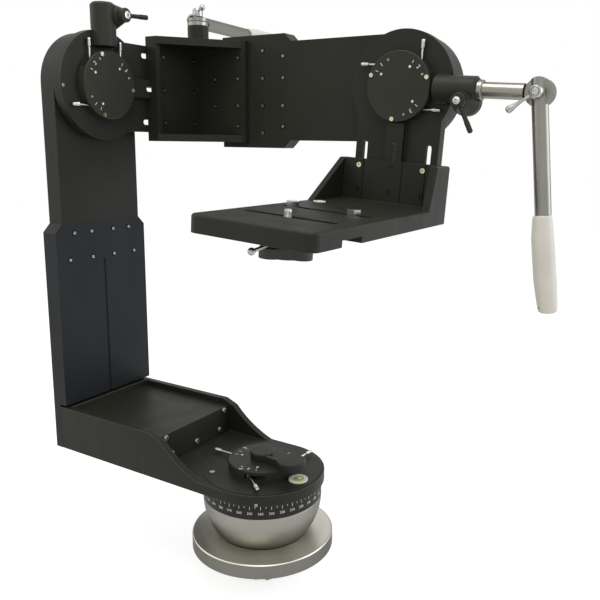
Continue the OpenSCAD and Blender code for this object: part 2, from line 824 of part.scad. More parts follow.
module pan_dial() {
  color(metal_black) difference() {
    at_pan() unit_dial(pan_pivot_at, pan_dir, pan_far, pan_screw_sink);
    translate([0, 0, pan_face_z - 1]) cylinder(d = spindle_d + 10, h = 2.5);
    translate([0, 0, pan_face_z + dial_h - 5]) cylinder(d = 12 + 2 * running, h = 10);
  }
}

module pan_level() {
  color(level_cream) translate([pan_level_at[0], pan_level_at[1], pan_face_z - 2])
    chamfered(pan_level_d, 3.5, 0.6);
}

module pan_lever_a() {
  color(metal_steel) at_pan() drag_lever(pan_pivot_at[0], pan_rest[0], pan_lever_l);
}

module pan_lever_b() {
  color(metal_steel) at_pan() drag_lever(pan_pivot_at[1], pan_rest[1], pan_lever_l);
}

module pan_lever_c() {
  color(metal_steel) at_pan() drag_lever(pan_pivot_at[2], pan_rest[2], pan_lever_l);
}

// Flat lock lever on the pan dial with a pivot peg
module pan_lock() {
  lever_angle = -5;
  base_z = pan_face_z + dial_h;
  color(metal_black) translate([0, 0, base_z]) {
    translate([0, 0, -4.5]) cylinder(d = 12, h = 6);
    translate([0, 0, air]) rotate([0, 0, lever_angle]) difference() {
      union() {
        chamfered(31, lock_h, 1);
        translate([0, -11, 0]) cube([lock_reach, 22, lock_h - 1]);
        translate([lock_reach, 0, 0]) chamfered(36, lock_h, 1);
      }
      translate([18, -4, lock_h - 3]) cylinder(d = 4, h = 4);
    }
  }
}

// Roll unit

module roll_plate() {
  color(metal_black) at_roll_unit() unit_plate(roll_tail_l);
}

module roll_shaft() {
  color(metal_steel) at_roll_unit() unit_shaft();
}

module roll_drag_discs() {
  color(metal_steel) at_roll_unit() unit_discs();
}

module roll_dial() {
  color(metal_black) at_roll_unit() unit_dial(pivot_at, roll_dir, roll_far, 0);
}

module roll_screws() {
  color(metal_brass) at_roll_unit() dial_screws(0);
}

module roll_socket() {
  color(metal_black) at_roll_unit() unit_socket();
}

module roll_clamp() {
  color(knob_black) at_roll_unit() unit_clamp(roll_clamp_angle);
}

module roll_lever_a() {
  color(metal_steel) at_roll_unit() drag_lever(pivot_at[0], roll_dir[0], drag_lever_l);
}

module roll_lever_b() {
  color(metal_steel) at_roll_unit() drag_lever(pivot_at[1], roll_dir[1], drag_lever_l);
}

module roll_lever_c() {
  color(metal_steel) at_roll_unit() drag_lever(pivot_at[2], roll_dir[2], drag_lever_l);
}

// Corner bracket: floor on the roll plate, two webs, an end wall, a flange and a corner block
module corner_bracket() {
  h = bracket_half_h;
  y0 = bracket_start_y;
  y1 = arm_face_y - flange_t;
  channel = rib_w / 2 + 0.3;
  web = [[bracket_x1 - 1, y0], [bracket_x2, y0], [bracket_end_x, arm_face_y - 1],
    [bracket_x1 - 1, arm_face_y - 1]];
  color(metal_black) difference() {
    union() {
      translate([bracket_x0, y0, axis_z - h]) cube([bracket_t, arm_face_y - y0, 2 * h]);
      for (z = [axis_z - h, axis_z + h - web_t])
        translate([0, 0, z]) linear_extrude(height = web_t) polygon(web);
      translate([bracket_x1 - 1, y0, axis_z - h]) cube([bracket_wall + 1, flange_t, 2 * h]);
      translate([bracket_x1 - 1, y1, axis_z - h]) cube([bracket_end_x - bracket_x1 + 1, flange_t, 2 * h]);
      translate([bracket_x0, arm_face_y - 1, axis_z - h]) cube([corner_l, arm_t + 1, 2 * h]);
    }
    translate([bracket_x0 - 1, y0 - 1, axis_z - channel])
      cube([rib_h + 1.3, roll_tail_l + tail_room - y0, 2 * channel]);
    bracket_screw_set() screw_hole(bracket_t + plate_bite);
    leg_screw_set() screw_hole(flange_t + sleeve_bite);
  }
}

module bracket_screw_set() {
  for (y = bracket_cols, s = [-1, 0, 1])
    translate([bracket_x1, y, axis_z + s * tail_slot_x]) rotate([0, 90, 0]) children();
}

module leg_screw_set() {
  for (p = leg_screws, s = [-1, 1])
    translate([p[0], arm_face_y - flange_t, axis_z + s * p[1]]) rotate([90, 0, 0]) children();
}

module bracket_screws() {
  color(metal_steel) {
    bracket_screw_set() cap_screw(bracket_t + plate_bite);
    leg_screw_set() cap_screw(flange_t + sleeve_bite);
    at_tilt_joint() sleeve_screws();
  }
}

module tilt_sleeve() {
  color(metal_blue_black) difference() {
    at_tilt_joint() sleeve(tilt_sleeve_l);
    leg_screw_set() screw_hole(flange_t + sleeve_bite);
  }
}

module tilt_arm() {
  color(metal_black) at_tilt_joint() arm();
}

module tilt_bearing() {
  color(metal_steel) at_tilt_axis() unit_bearing();
}

// Rear handle on a post behind the corner block

module rear_post() {
  foot_h = 60;
  color(metal_black) {
    translate([post_x, post_y, post_z0]) chamfered(post_d, post_top_z - post_z0, 1);
    translate([post_x, post_foot_y, post_z0]) cube([bracket_x0 - post_x, block_y1 - post_foot_y, foot_h]);
  }
}

// Silver disc on the post, the lower half of the rear rosette
module rear_eye() {
  color(metal_silver) difference() {
    translate([post_x, post_y, post_top_z]) cylinder(d = post_d, h = rear_eye_t - air / 2);
    translate([post_x, post_y, post_top_z - 1])
      cylinder(d = rosette_bolt_d + 2 * running, h = rear_eye_t + 2);
  }
}

// Handle tube along y, with a half-lapped knuckle on the +x side of the joint at the origin
module handle_tube() {
  difference() {
    union() {
      translate([air / 2, 0, 0]) rotate([0, 90, 0]) cylinder(d = knuckle_d, h = knuckle_t - air / 2);
      intersection() {
        rotate([-90, 0, 0]) cylinder(d = bar_d, h = knuckle_gap + 2);
        translate([air / 2, 0, -bar_d]) cube([bar_d, knuckle_gap + 2, 2 * bar_d]);
      }
      translate([0, knuckle_gap, 0]) rotate([-90, 0, 0]) cylinder(d = bar_d, h = handle_tube_l - knuckle_gap);
      translate([0, handle_tube_l - 1, 0]) rotate([-90, 0, 0]) cylinder(d = bar_d - 6, h = grip_l - 9);
    }
    translate([-knuckle_t, 0, 0]) rotate([0, 90, 0])
      cylinder(d = rosette_bolt_d + 2 * running, h = 3 * knuckle_t);
  }
}

// Hollow grip that follows the tube, thickest at a quarter of its length
module handle_grip() {
  r = grip_d / 2;
  bore = bar_d / 2 - 3 + seated;
  translate([0, handle_tube_l, 0]) rotate([-90, 0, 0]) rotate_extrude()
    polygon([[bore, 0], [r - 2.6, 0], [r - 1.6, 1], [r, grip_l * 0.25], [r - 0.4, grip_l * 0.6],
      [r - 1.2, grip_l - 3], [r - 4, grip_l], [0, grip_l], [0, grip_l - 9], [bore, grip_l - 9]]);
}

// The rear handle lies level on the post's rosette
module at_rear_handle() {
  translate([post_x, post_y, rear_joint_z]) rotate([0, 0, rear_turn]) rotate([0, -90, 0]) children();
}

module rear_tube() {
  color(metal_silver) at_rear_handle() handle_tube();
}

module rear_grip() {
  color(grip_cream) at_rear_handle() handle_grip();
}

module rear_clamp() {
  color(metal_steel) translate([post_x, post_y, rear_joint_z + knuckle_t])
    rosette_clamp(rear_lever_angle, knuckle_t + rear_eye_t - 1);
}

// Tilt unit

module tilt_plate() {
  color(metal_black) at_tilt() unit_plate(tilt_tail_l);
}

module tilt_shaft() {
  color(metal_steel) at_tilt() unit_shaft();
}

module tilt_drag_discs() {
  color(metal_steel) at_tilt() unit_discs();
}

module tilt_dial() {
  color(metal_black) at_tilt() unit_dial(pivot_at, tilt_dir, tilt_far, 0);
}

module tilt_screws() {
  color(metal_brass) at_tilt() dial_screws(0);
}

module tilt_socket() {
  color(metal_black) at_tilt() unit_socket();
}

module tilt_clamp() {
  color(knob_black) at_tilt() unit_clamp(tilt_clamp_angle);
}

module tilt_lever_a() {
  color(metal_steel) at_tilt() drag_lever(pivot_at[0], tilt_dir[0], drag_lever_l);
}

module tilt_lever_b() {
  color(metal_steel) at_tilt() drag_lever(pivot_at[1], tilt_dir[1], drag_lever_l);
}

module tilt_lever_c() {
  color(metal_steel) at_tilt() drag_lever(pivot_at[2], tilt_dir[2], drag_lever_l);
}

// Front handle

// Bar with a collar at the socket's mouth and a half-lapped rosette knuckle at its end
module front_bar() {
  bar_start = bore_start + 1;
  bar_end = rosette_u - knuckle_gap;
  lap_w = socket_w - air / 2;
  color(metal_silver) at_tilt() difference() {
    union() {
      translate([bar_start, 0, socket_w]) rotate([0, 90, 0]) cylinder(d = bar_d, h = bar_end - bar_start);
      translate([socket_end + air, 0, socket_w]) rotate([0, 90, 0]) chamfered(collar_d, 6, 1);
      intersection() {
        translate([bar_end - 2, 0, socket_w]) rotate([0, 90, 0]) cylinder(d = bar_d, h = knuckle_gap + 2);
        translate([bar_end - 2, -bar_d, lap_w - bar_d]) cube([knuckle_gap + 2, 2 * bar_d, bar_d]);
      }
      translate([rosette_u, 0, socket_w - knuckle_t]) cylinder(d = knuckle_d, h = knuckle_t - air / 2);
    }
    translate([rosette_u, 0, 0]) cylinder(d = rosette_bolt_d + 2 * running, h = 3 * knuckle_t);
  }
}

// The handle hangs from the rosette, leaning forward
module at_front_handle() {
  at_tilt() translate([rosette_u, 0, socket_w]) rotate([0, 0, handle_lean - 180])
    rotate([0, -90, 0]) children();
}

module front_tube() {
  color(metal_silver) at_front_handle() handle_tube();
}

module front_grip() {
  color(grip_cream) at_front_handle() handle_grip();
}

module front_clamp() {
  color(metal_steel) at_tilt() translate([rosette_u, 0, socket_w + knuckle_t])
    rosette_clamp(front_lever_angle, 2 * knuckle_t - 2);
}

// Platform that slides on the tail slots

module platform() {
  half = platform_w / 2;
  r = platform_r;
  gusset = 9.5;
  gusset_l = 74.5;
  gusset_r_top = 26.5;
  gusset_r_foot = 39.5;
  grooves = [-38, 17, 49];
  channel = rib_w / 2 + 0.3;
  color(metal_black) at_tilt() difference() {
    union() {
      translate([-half, plat_bottom, plate_w]) cube([platform_w, platform_t, platform_l - r]);
      translate([r - half, plat_bottom, plate_w]) cube([platform_w - 2 * r, platform_t, platform_l]);
      for (s = [-1, 1])
        translate([s * (half - r), plat_bottom, plat_end - r]) rotate([-90, 0, 0])
          cylinder(r = r, h = platform_t);
      translate([-half, plat_bottom, plate_w]) cube([platform_w, wall_top - plat_bottom, platform_wall_t]);
      translate([gusset - half, 0, 0]) rotate([0, -90, 0]) linear_extrude(height = gusset)
        polygon([[plate_w, plat_top - 1], [wall_w1 + gusset_l, plat_top - 1], [wall_w1 + gusset_l, plat_top],
          [wall_w1, wall_top], [plate_w, wall_top]]);
      translate([half, 0, 0]) rotate([0, -90, 0]) linear_extrude(height = gusset)
        polygon([[plate_w, plat_top - 1], [wall_w1 + gusset_r_foot, plat_top - 1],
          [wall_w1 + gusset_r_foot, plat_top], [wall_w1 + gusset_r_top, wall_top], [plate_w, wall_top]]);
    }
    translate([-channel, plat_bottom - 1, plate_w - 1])
      cube([2 * channel, wall_top - plat_bottom + 2, rib_h + 1.3]);
    translate([0, plat_bottom - 1, front_slot_w]) slot_x(slot_l / 2 - slot_w / 2, slot_w, platform_t + 2);
    translate([0, plat_bottom - 1, rear_slot_w]) slot_x(slot_l / 2 - slot_w / 2, slot_w, platform_t + 2);
    translate([-half - 1, plat_bottom - 1, front_slot_w - groove_half])
      cube([platform_w + 2, groove_depth + 1, 2 * groove_half]);
    for (x = grooves)
      translate([x - 1, plat_top, wall_w1 - 1.5]) cube([2, platform_wall_h + 1, 2]);
    for (x = bolt_cols, y = bolt_rows) translate([x, y, wall_w1]) screw_hole(platform_wall_t + 9);
    translate([platform_level_at[0], plat_top - 2, platform_level_at[1]]) rotate([-90, 0, 0])
      cylinder(d = platform_level_d + 2 * seated, h = 4);
  }
}

// Small spirit level let into the platform
module platform_level() {
  color(level_cream) at_tilt() translate([platform_level_at[0], plat_top - 2, platform_level_at[1]])
    rotate([-90, 0, 0]) chamfered(platform_level_d, 3, 0.5);
}

// Wall bolts and two hexagon head bolts kept in the rear slot
module platform_bolts() {
  hex_af = 14.3;
  hex_h = 6.5;
  color(metal_steel) at_tilt() {
    for (x = bolt_cols, y = bolt_rows) translate([x, y, wall_w1]) cap_screw(platform_wall_t + 9);
    for (x = hex_at) translate([x, plat_top, rear_slot_w]) rotate([-90, 0, 0]) {
      cylinder(d = hex_af / cos(30), h = hex_h, $fn = 6);
      translate([0, 0, -platform_t - 4]) cylinder(d = camera_screw_d, h = platform_t + 5);
    }
  }
}

// Camera screw with a three lobed knob under the front slot
module camera_screw() {
  lobes = 3;
  lobe_d = 24;
  lobe_turn = 4;
  lobe_drop = 3.2;
  color(knob_black) at_tilt() translate([camera_u, 0, front_slot_w]) {
    translate([0, plat_top, 0]) rotate([-90, 0, 0]) cylinder(d = camera_screw_d, h = camera_screw_h);
    translate([0, knob_top - 1, 0]) rotate([-90, 0, 0])
      cylinder(d = camera_shank_d, h = plat_top + 1 - knob_top);
    translate([0, knob_top - camera_knob_h, 0]) rotate([-90, 0, 0]) {
      chamfered(lobe_d, camera_knob_h, 1);
      cylinder(d = camera_knob_d - lobe_d + 4, h = camera_knob_h - lobe_drop - 1);
      for (i = [0 : lobes - 1])
        rotate([0, 0, lobe_turn + i * 360 / lobes]) translate([camera_knob_d / 2 - lobe_d / 2, 0, 0])
          chamfered(lobe_d, camera_knob_h - lobe_drop, 1.5);
    }
  }
}

// Ball ended lever between the platform and the knob, drooping to the front
module camera_lever() {
  reach = 56;
  droop = 8;
  turn = -93.5;
  color(metal_steel) at_tilt()
    translate([camera_u, camera_lever_top - camera_lever_t, front_slot_w]) rotate([-90, 0, 0]) difference() {
      union() {
        cylinder(d = 30, h = camera_lever_t);
        translate([0, 0, camera_lever_t / 2]) rotate([0, 0, turn]) rotate([0, 90 + droop, 0]) {
          cylinder(d = 4, h = reach);
          translate([0, 0, reach]) sphere(d = 8);
        }
      }
      translate([0, 0, -1]) cylinder(d = camera_shank_d + 2 * running, h = camera_lever_t + 2);
    }
}

bowl_flange();
half_ball();
scale_ring();
pan_spindle();
pan_drag_discs();
tie_down();
pan_housing();
pan_plate();
pan_bearing();
lower_arm();
arm_cover();
pan_screws();
column_sleeve();
column_arm();
roll_bearing();
pan_dial();
pan_level();
pan_lever_a();
pan_lever_b();
pan_lever_c();
pan_lock();
roll_plate();
roll_shaft();
roll_drag_discs();
roll_dial();
roll_screws();
roll_socket();
roll_clamp();
roll_lever_a();
roll_lever_b();
roll_lever_c();
corner_bracket();
bracket_screws();
tilt_sleeve();
tilt_arm();
tilt_bearing();
rear_post();
rear_eye();
rear_tube();
rear_grip();
rear_clamp();
tilt_plate();
tilt_shaft();
tilt_drag_discs();
tilt_dial();
tilt_screws();
tilt_socket();
tilt_clamp();
tilt_lever_a();
tilt_lever_b();
tilt_lever_c();
front_bar();
front_tube();
front_grip();
front_clamp();
platform();
platform_bolts();
platform_level();
camera_screw();
camera_lever();
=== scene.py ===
import json
import math

import bpy
from mathutils import Matrix, Vector


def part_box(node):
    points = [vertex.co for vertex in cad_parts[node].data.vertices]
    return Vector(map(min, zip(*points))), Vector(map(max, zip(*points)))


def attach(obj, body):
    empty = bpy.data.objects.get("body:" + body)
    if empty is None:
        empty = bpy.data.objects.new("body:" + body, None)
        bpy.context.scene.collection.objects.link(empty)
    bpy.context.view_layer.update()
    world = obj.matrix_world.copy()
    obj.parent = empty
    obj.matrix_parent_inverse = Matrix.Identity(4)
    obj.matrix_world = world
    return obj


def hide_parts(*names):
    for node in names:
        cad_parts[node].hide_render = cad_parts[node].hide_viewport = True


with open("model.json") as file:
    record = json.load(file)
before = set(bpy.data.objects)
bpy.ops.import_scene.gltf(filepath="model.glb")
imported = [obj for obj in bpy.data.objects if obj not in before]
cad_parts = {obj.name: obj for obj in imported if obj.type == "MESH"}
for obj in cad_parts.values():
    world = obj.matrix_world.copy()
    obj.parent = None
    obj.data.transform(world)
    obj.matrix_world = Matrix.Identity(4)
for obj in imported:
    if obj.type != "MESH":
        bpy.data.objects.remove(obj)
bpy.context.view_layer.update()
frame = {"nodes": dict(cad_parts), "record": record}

bl_info = {
    "name": "Fluid Head Dressing",
    "version": (1, 0, 0),
    "blender": (4, 5, 0),
    "location": "View3D > Sidebar > Fluid Head",
    "description": "Dresses the three-axis fluid head with finished pieces, materials and a studio",
    "category": "Object",
}

RECORD = frame["record"]
BODY_OF = {node: body for body, nodes in RECORD["behaviour"]["bodies"].items() for node in nodes}
SLOT_OF = {part["node"]: part["material_slot"] for part in RECORD["subparts"]}
JOINT = {joint["name"]: joint for joint in RECORD["behaviour"]["joints"]}


def mm(value):
    """Millimetres as metres."""
    return value / 1000.0


def pin(joint):
    """The place of a joint in the frame."""
    return Vector(JOINT[joint]["pos_m"])


# Frames of the three drag units: x and y in the dial's plane, z out of its face

TILT_REST = math.radians(3.5)
QUARTER = math.pi / 2
PLATE_FACE = mm(16.6)
DIAL_FACE = mm(28.4)
DIAL_R = mm(43.3)
LEVER_RISE = mm(4.5)
PAN_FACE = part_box("pan_dial")[0][2]
HUB_DEPTH = mm(10.0)

TILT_FRAME = (Matrix.Translation(pin("tilt_turn") + Vector((0.0, HUB_DEPTH, 0.0)))
              @ Matrix.Rotation(TILT_REST, 4, "Y") @ Matrix.Rotation(QUARTER, 4, "X"))
ROLL_FRAME = (Matrix.Translation(pin("roll_turn") - Vector((HUB_DEPTH, 0.0, 0.0)))
              @ Matrix.Rotation(QUARTER, 4, "Z") @ Matrix.Rotation(QUARTER, 4, "X")
              @ Matrix.Rotation(QUARTER, 4, "Z"))
PAN_FRAME = Matrix.Translation((0.0, 0.0, PAN_FACE - PLATE_FACE))

# Each unit's angles about its dial in degrees, and the reach of its drag levers in mm
UNITS = {
    "pan": {"frame": PAN_FRAME, "pivots": (180, 38, -83), "points": (180, 85, -37),
            "marks": (180, 38, -83), "body": "pan", "reach": 41.0},
    "roll": {"frame": ROLL_FRAME, "pivots": (135, 45, -45), "points": (90, 0, 0),
             "marks": (134, 43, -54), "body": "roll", "reach": 31.0},
    "tilt": {"frame": TILT_FRAME, "pivots": (135, 45, -45), "points": (180, 90, 0),
             "marks": (134, 43, -54), "body": "tilt", "reach": 31.0},
}
PIVOT_R = mm(36.8)

# The platform's top in the tilt unit's frame and the start of a grip along its tube, in mm
PLATFORM_TOP = -144.7
GRIP_START = 139.0

# The front handle's eye in the tilt unit's frame and the rear handle's drop under its joint, in mm
FRONT_EYE = 174.5
FRONT_RISE = 20.0
REAR_DROP = 6.0

# How far the handles lean at rest, in degrees
FRONT_LEAN = 9.4
REAR_LEAN = 5.0


class HeadFinish(bpy.types.PropertyGroup):
    """Colours and edges of the head"""
    black: bpy.props.FloatVectorProperty(
        name="Black", description="Anodised black of the castings", size=3, subtype="COLOR",
        default=(0.0142, 0.0142, 0.0105))
    blue_black: bpy.props.FloatVectorProperty(
        name="Blue black", description="Anodised black of the sleeves and cover", size=3, subtype="COLOR",
        default=(0.0100, 0.0112, 0.0128))
    silver: bpy.props.FloatVectorProperty(
        name="Silver", description="Turned aluminium of the ball, flange and tubes", size=3, subtype="COLOR",
        default=(0.275, 0.268, 0.238))
    steel: bpy.props.FloatVectorProperty(
        name="Steel", description="Plated levers and screws", size=3, subtype="COLOR",
        default=(0.56, 0.555, 0.53))
    brass: bpy.props.FloatVectorProperty(
        name="Brass", description="Pale brass of the dial screws", size=3, subtype="COLOR",
        default=(0.66, 0.62, 0.44))
    cream: bpy.props.FloatVectorProperty(
        name="Cream", description="Moulded grips", size=3, subtype="COLOR", default=(0.525, 0.495, 0.435))
    edge: bpy.props.FloatProperty(
        name="Edge", description="Width of the softened casting edges", default=mm(0.7), unit="LENGTH")
    platform_edge: bpy.props.FloatProperty(
        name="Platform edge", description="Rounding of the platform's top edge", default=mm(3.0),
        unit="LENGTH")


class HeadSizes(bpy.types.PropertyGroup):
    """Sizes of the marks and the small pieces"""
    number_h: bpy.props.FloatProperty(
        name="Number", description="Height of the degree numbers", default=mm(4.4), unit="LENGTH")
    tick_l: bpy.props.FloatProperty(
        name="Tick", description="Length of the ten degree ticks", default=mm(4.2), unit="LENGTH")
    tick_w: bpy.props.FloatProperty(
        name="Tick width", description="Width of the ticks", default=mm(0.55), unit="LENGTH")
    dial_number_h: bpy.props.FloatProperty(
        name="Dial number", description="Height of the dial numbers", default=mm(7.2), unit="LENGTH")
    dot_d: bpy.props.FloatProperty(
        name="Dot", description="Diameter of the white dial dots", default=mm(3.2), unit="LENGTH")
    mark_t: bpy.props.FloatProperty(
        name="Mark", description="Thickness of the filled marks", default=mm(0.06), unit="LENGTH")
    screw_share: bpy.props.FloatProperty(
        name="Screw share", description="Width of a sunk screw head as a share of its recess", default=0.62)


class HeadStage(bpy.types.PropertyGroup):
    """Camera, floor and light"""
    camera_at: bpy.props.FloatVectorProperty(
        name="Camera", description="Place of the camera", size=3, subtype="TRANSLATION",
        default=(0.50164, -0.68812, 0.50574))
    camera_to: bpy.props.FloatVectorProperty(
        name="Target", description="Point that the camera looks at", size=3, subtype="TRANSLATION",
        default=(-0.002785, 0.1425, 0.302819))
    camera_roll: bpy.props.FloatProperty(
        name="Roll", description="Turn of the camera about its line of sight", default=0.0138,
        subtype="ANGLE")
    lens: bpy.props.FloatProperty(
        name="Lens", description="Focal length of the camera in millimetres", default=43.09)
    shift: bpy.props.FloatVectorProperty(
        name="Shift", description="Shift of the picture across and up", size=2, default=(-0.0357, -0.0137))
    floor_z: bpy.props.FloatProperty(
        name="Floor", description="Height of the floor", default=mm(-48.0), unit="LENGTH")
    soft_light: bpy.props.FloatProperty(
        name="Soft light", description="Strength of the light from all round", default=0.62)


def finish():
    """The colours and edges in use."""
    return bpy.context.scene.head_finish


def sizes():
    """The sizes of marks and small pieces in use."""
    return bpy.context.scene.head_sizes


# Material helpers

class Shade:
    """A small builder for one node material around a Principled shader."""

    def __init__(self, name):
        self.mat = bpy.data.materials.new(name)
        self.mat.use_nodes = True
        self.tree = self.mat.node_tree
        self.bsdf = self.tree.nodes["Principled BSDF"]
        self.coords = self.tree.nodes.new("ShaderNodeTexCoord")

    def add(self, kind, **values):
        """Adds a node and sets its properties."""
        node = self.tree.nodes.new(kind)
        for key, value in values.items():
            setattr(node, key, value)
        return node

    def link(self, a, b):
        """Joins an output to an input."""
        self.tree.links.new(a, b)

    def set(self, **values):
        """Sets the shader's own sockets by their names."""
        for key, value in values.items():
            self.bsdf.inputs[key.replace("_", " ")].default_value = value

    def mapping(self, scale, turn=(0, 0, 0)):
        """Object coordinates stretched and turned."""
        node = self.add("ShaderNodeMapping")
        node.inputs["Scale"].default_value = scale
        node.inputs["Rotation"].default_value = turn
        self.link(self.coords.outputs["Object"], node.inputs["Vector"])
        return node.outputs["Vector"]

    def rings(self, pitch):
        """Coordinates that run along the radius and the height of a piece turned about Z."""
        flat = self.add("ShaderNodeVectorMath", operation="MULTIPLY")
        flat.inputs[1].default_value = (1.0, 1.0, 0.0)
        self.link(self.coords.outputs["Object"], flat.inputs[0])
        radius = self.add("ShaderNodeVectorMath", operation="LENGTH")
        self.link(flat.outputs["Vector"], radius.inputs[0])
        height = self.add("ShaderNodeSeparateXYZ")
        self.link(self.coords.outputs["Object"], height.inputs["Vector"])
        both = self.add("ShaderNodeCombineXYZ")
        self.link(radius.outputs["Value"], both.inputs["X"])
        self.link(height.outputs["Z"], both.inputs["Y"])
        scaled = self.add("ShaderNodeVectorMath", operation="SCALE")
        scaled.inputs["Scale"].default_value = pitch
        self.link(both.outputs["Vector"], scaled.inputs[0])
        return scaled.outputs["Vector"]

    def noise(self, scale, detail=3.0, rough=0.5, vector=None):
        """A noise on the object's coordinates, or on those given."""
        node = self.add("ShaderNodeTexNoise")
        node.inputs["Scale"].default_value = scale
        node.inputs["Detail"].default_value = detail
        node.inputs["Roughness"].default_value = rough
        self.link(vector or self.coords.outputs["Object"], node.inputs["Vector"])
        return node.outputs["Fac"]

    def ramp(self, value, stops):
        """Colours along a value, given as place and colour."""
        node = self.add("ShaderNodeValToRGB")
        while len(node.color_ramp.elements) < len(stops):
            node.color_ramp.elements.new(0.5)
        for element, (place, colour) in zip(node.color_ramp.elements, stops):
            element.position = place
            element.color = (*colour, 1.0)
        self.link(value, node.inputs["Fac"])
        return node.outputs["Color"]

    def spread(self, value, low, high):
        """The middle half of a noise as a range of numbers."""
        node = self.add("ShaderNodeMapRange")
        node.inputs["From Min"].default_value = 0.25
        node.inputs["From Max"].default_value = 0.75
        node.inputs["To Min"].default_value = low
        node.inputs["To Max"].default_value = high
        self.link(value, node.inputs["Value"])
        return node.outputs["Result"]

    def blend(self, fac, a, b):
        """A mix of two colours or colour sockets."""
        node = self.add("ShaderNodeMix", data_type="RGBA")
        self.link(fac, node.inputs["Factor"])
        for socket, value in ((node.inputs[6], a), (node.inputs[7], b)):
            if hasattr(value, "is_linked"):
                self.link(value, socket)
            else:
                socket.default_value = (*value, 1.0)
        return node.outputs[2]

    def colour(self, value):
        """Links the base colour."""
        self.link(value, self.bsdf.inputs["Base Color"])

    def rough(self, value):
        """Links the roughness."""
        self.link(value, self.bsdf.inputs["Roughness"])

    def bump(self, *heights):
        """Chains bump nodes, each given as height socket, strength and distance."""
        last = None
        for height, strength, distance in heights:
            node = self.add("ShaderNodeBump")
            node.inputs["Strength"].default_value = strength
            node.inputs["Distance"].default_value = distance
            self.link(height, node.inputs["Height"])
            if last is not None:
                self.link(last, node.inputs["Normal"])
            last = node.outputs["Normal"]
        self.link(last, self.bsdf.inputs["Normal"])


def tone(colour, factor):
    """A lighter or darker shade of a colour."""
    return tuple(min(1.0, c * factor) for c in colour)


MATERIALS = {}
GRAZING = (0.55, 0.55, 0.56, 1.0)


def anodised(name, colour):
    """Satin black anodised metal with a fine blasted grain and faint handling marks."""
    s = Shade(name)
    s.set(Specular_IOR_Level=0.16)
    cloud = s.noise(9.0, 4.0)
    smear = s.noise(38.0, 5.0, 0.6, s.mapping(scale=(1.0, 1.0, 0.35)))
    base = s.ramp(cloud, [(0.3, tone(colour, 0.84)), (0.7, tone(colour, 1.2))])
    dust = s.ramp(s.noise(420.0, 2.0), [(0.64, (0, 0, 0)), (0.80, (0.6, 0.6, 0.6))])
    s.colour(s.blend(dust, base, tone(colour, 1.7)))
    s.rough(s.spread(smear, 0.40, 0.54))
    s.bump((s.noise(2600.0, 2.0), 0.10, 0.0002), (smear, 0.03, 0.0003))
    return s.mat


def worn_edge(name, colour):
    """Painted highlight for the rounded edges of an anodised casting: a lighter, slightly metallic colour
    mottled by noise.
    """
    s = Shade(name)
    s.set(Metallic=0.2, Specular_IOR_Level=0.3)
    # Painted highlight: the colour runs from a lighter black to a pale brownish grey, mottled by noise
    highlight_mottle = s.noise(160.0, 5.0, 0.65)
    brightest_highlight = (0.14, 0.135, 0.12)
    s.colour(s.ramp(highlight_mottle, [(0.40, tone(colour, 1.6)), (0.62, tone(colour, 2.8)), (0.80, brightest_highlight)]))
    s.rough(s.spread(highlight_mottle, 0.48, 0.32))
    s.bump((highlight_mottle, 0.08, 0.0003))
    return s.mat


def lathe_turned(name, colour):
    """Aluminium with fine turning rings about the pan axis."""
    s = Shade(name)
    s.set(Metallic=1.0, Specular_Tint=GRAZING)
    lines = s.noise(1.0, 2.0, 0.5, s.rings(2200.0))
    wide = s.noise(1.0, 2.0, 0.5, s.rings(260.0))
    cloud = s.noise(12.0, 3.0)
    s.colour(s.blend(s.spread(cloud, 0.0, 1.0), tone(colour, 0.92), tone(colour, 1.06)))
    s.rough(s.spread(wide, 0.33, 0.43))
    s.bump((lines, 0.06, 0.0001), (wide, 0.02, 0.0002))
    return s.mat


def drawn_tube(name, colour):
    """Clear anodised tube with a soft satin grain."""
    s = Shade(name)
    s.set(Metallic=1.0, Specular_Tint=GRAZING)
    grain = s.noise(900.0, 2.0)
    cloud = s.noise(16.0, 3.0)
    s.colour(s.blend(s.spread(cloud, 0.0, 1.0), tone(colour, 0.90), tone(colour, 1.04)))
    s.rough(s.spread(cloud, 0.29, 0.36))
    s.bump((grain, 0.03, 0.0001))
    return s.mat


def bright_steel(name, colour, low, high):
    """Plated steel with a light polish and small scratches."""
    s = Shade(name)
    s.set(Metallic=1.0)
    haze = s.noise(120.0, 4.0)
    scratch = s.noise(1.0, 2.0, 0.5, s.mapping(scale=(240.0, 1800.0, 420.0), turn=(0.3, 0.2, 0.5)))
    s.colour(s.ramp(haze, [(0.35, tone(colour, 0.82)), (0.65, colour)]))
    s.rough(s.spread(haze, low, high))
    s.bump((scratch, 0.03, 0.0001))
    return s.mat


def moulded(name, colour, low, high, grain):
    """Moulded plastic with a soft grain and slight handling tone."""
    s = Shade(name)
    s.set(IOR=1.48)
    cloud = s.noise(22.0, 4.0)
    s.colour(s.ramp(cloud, [(0.3, tone(colour, 0.92)), (0.7, tone(colour, 1.04))]))
    s.rough(s.spread(cloud, low, high))
    s.bump((s.noise(1500.0, 2.0), grain, 0.0002))
    return s.mat


def white_mark():
    """Filled white engraving with slightly uneven paint."""
    s = Shade("white_mark")
    wear = s.noise(500.0, 3.0)
    s.colour(s.ramp(wear, [(0.3, (0.48, 0.48, 0.46)), (0.6, (0.72, 0.72, 0.70))]))
    s.rough(s.spread(wear, 0.45, 0.65))
    s.bump((wear, 0.05, 0.0001))
    return s.mat


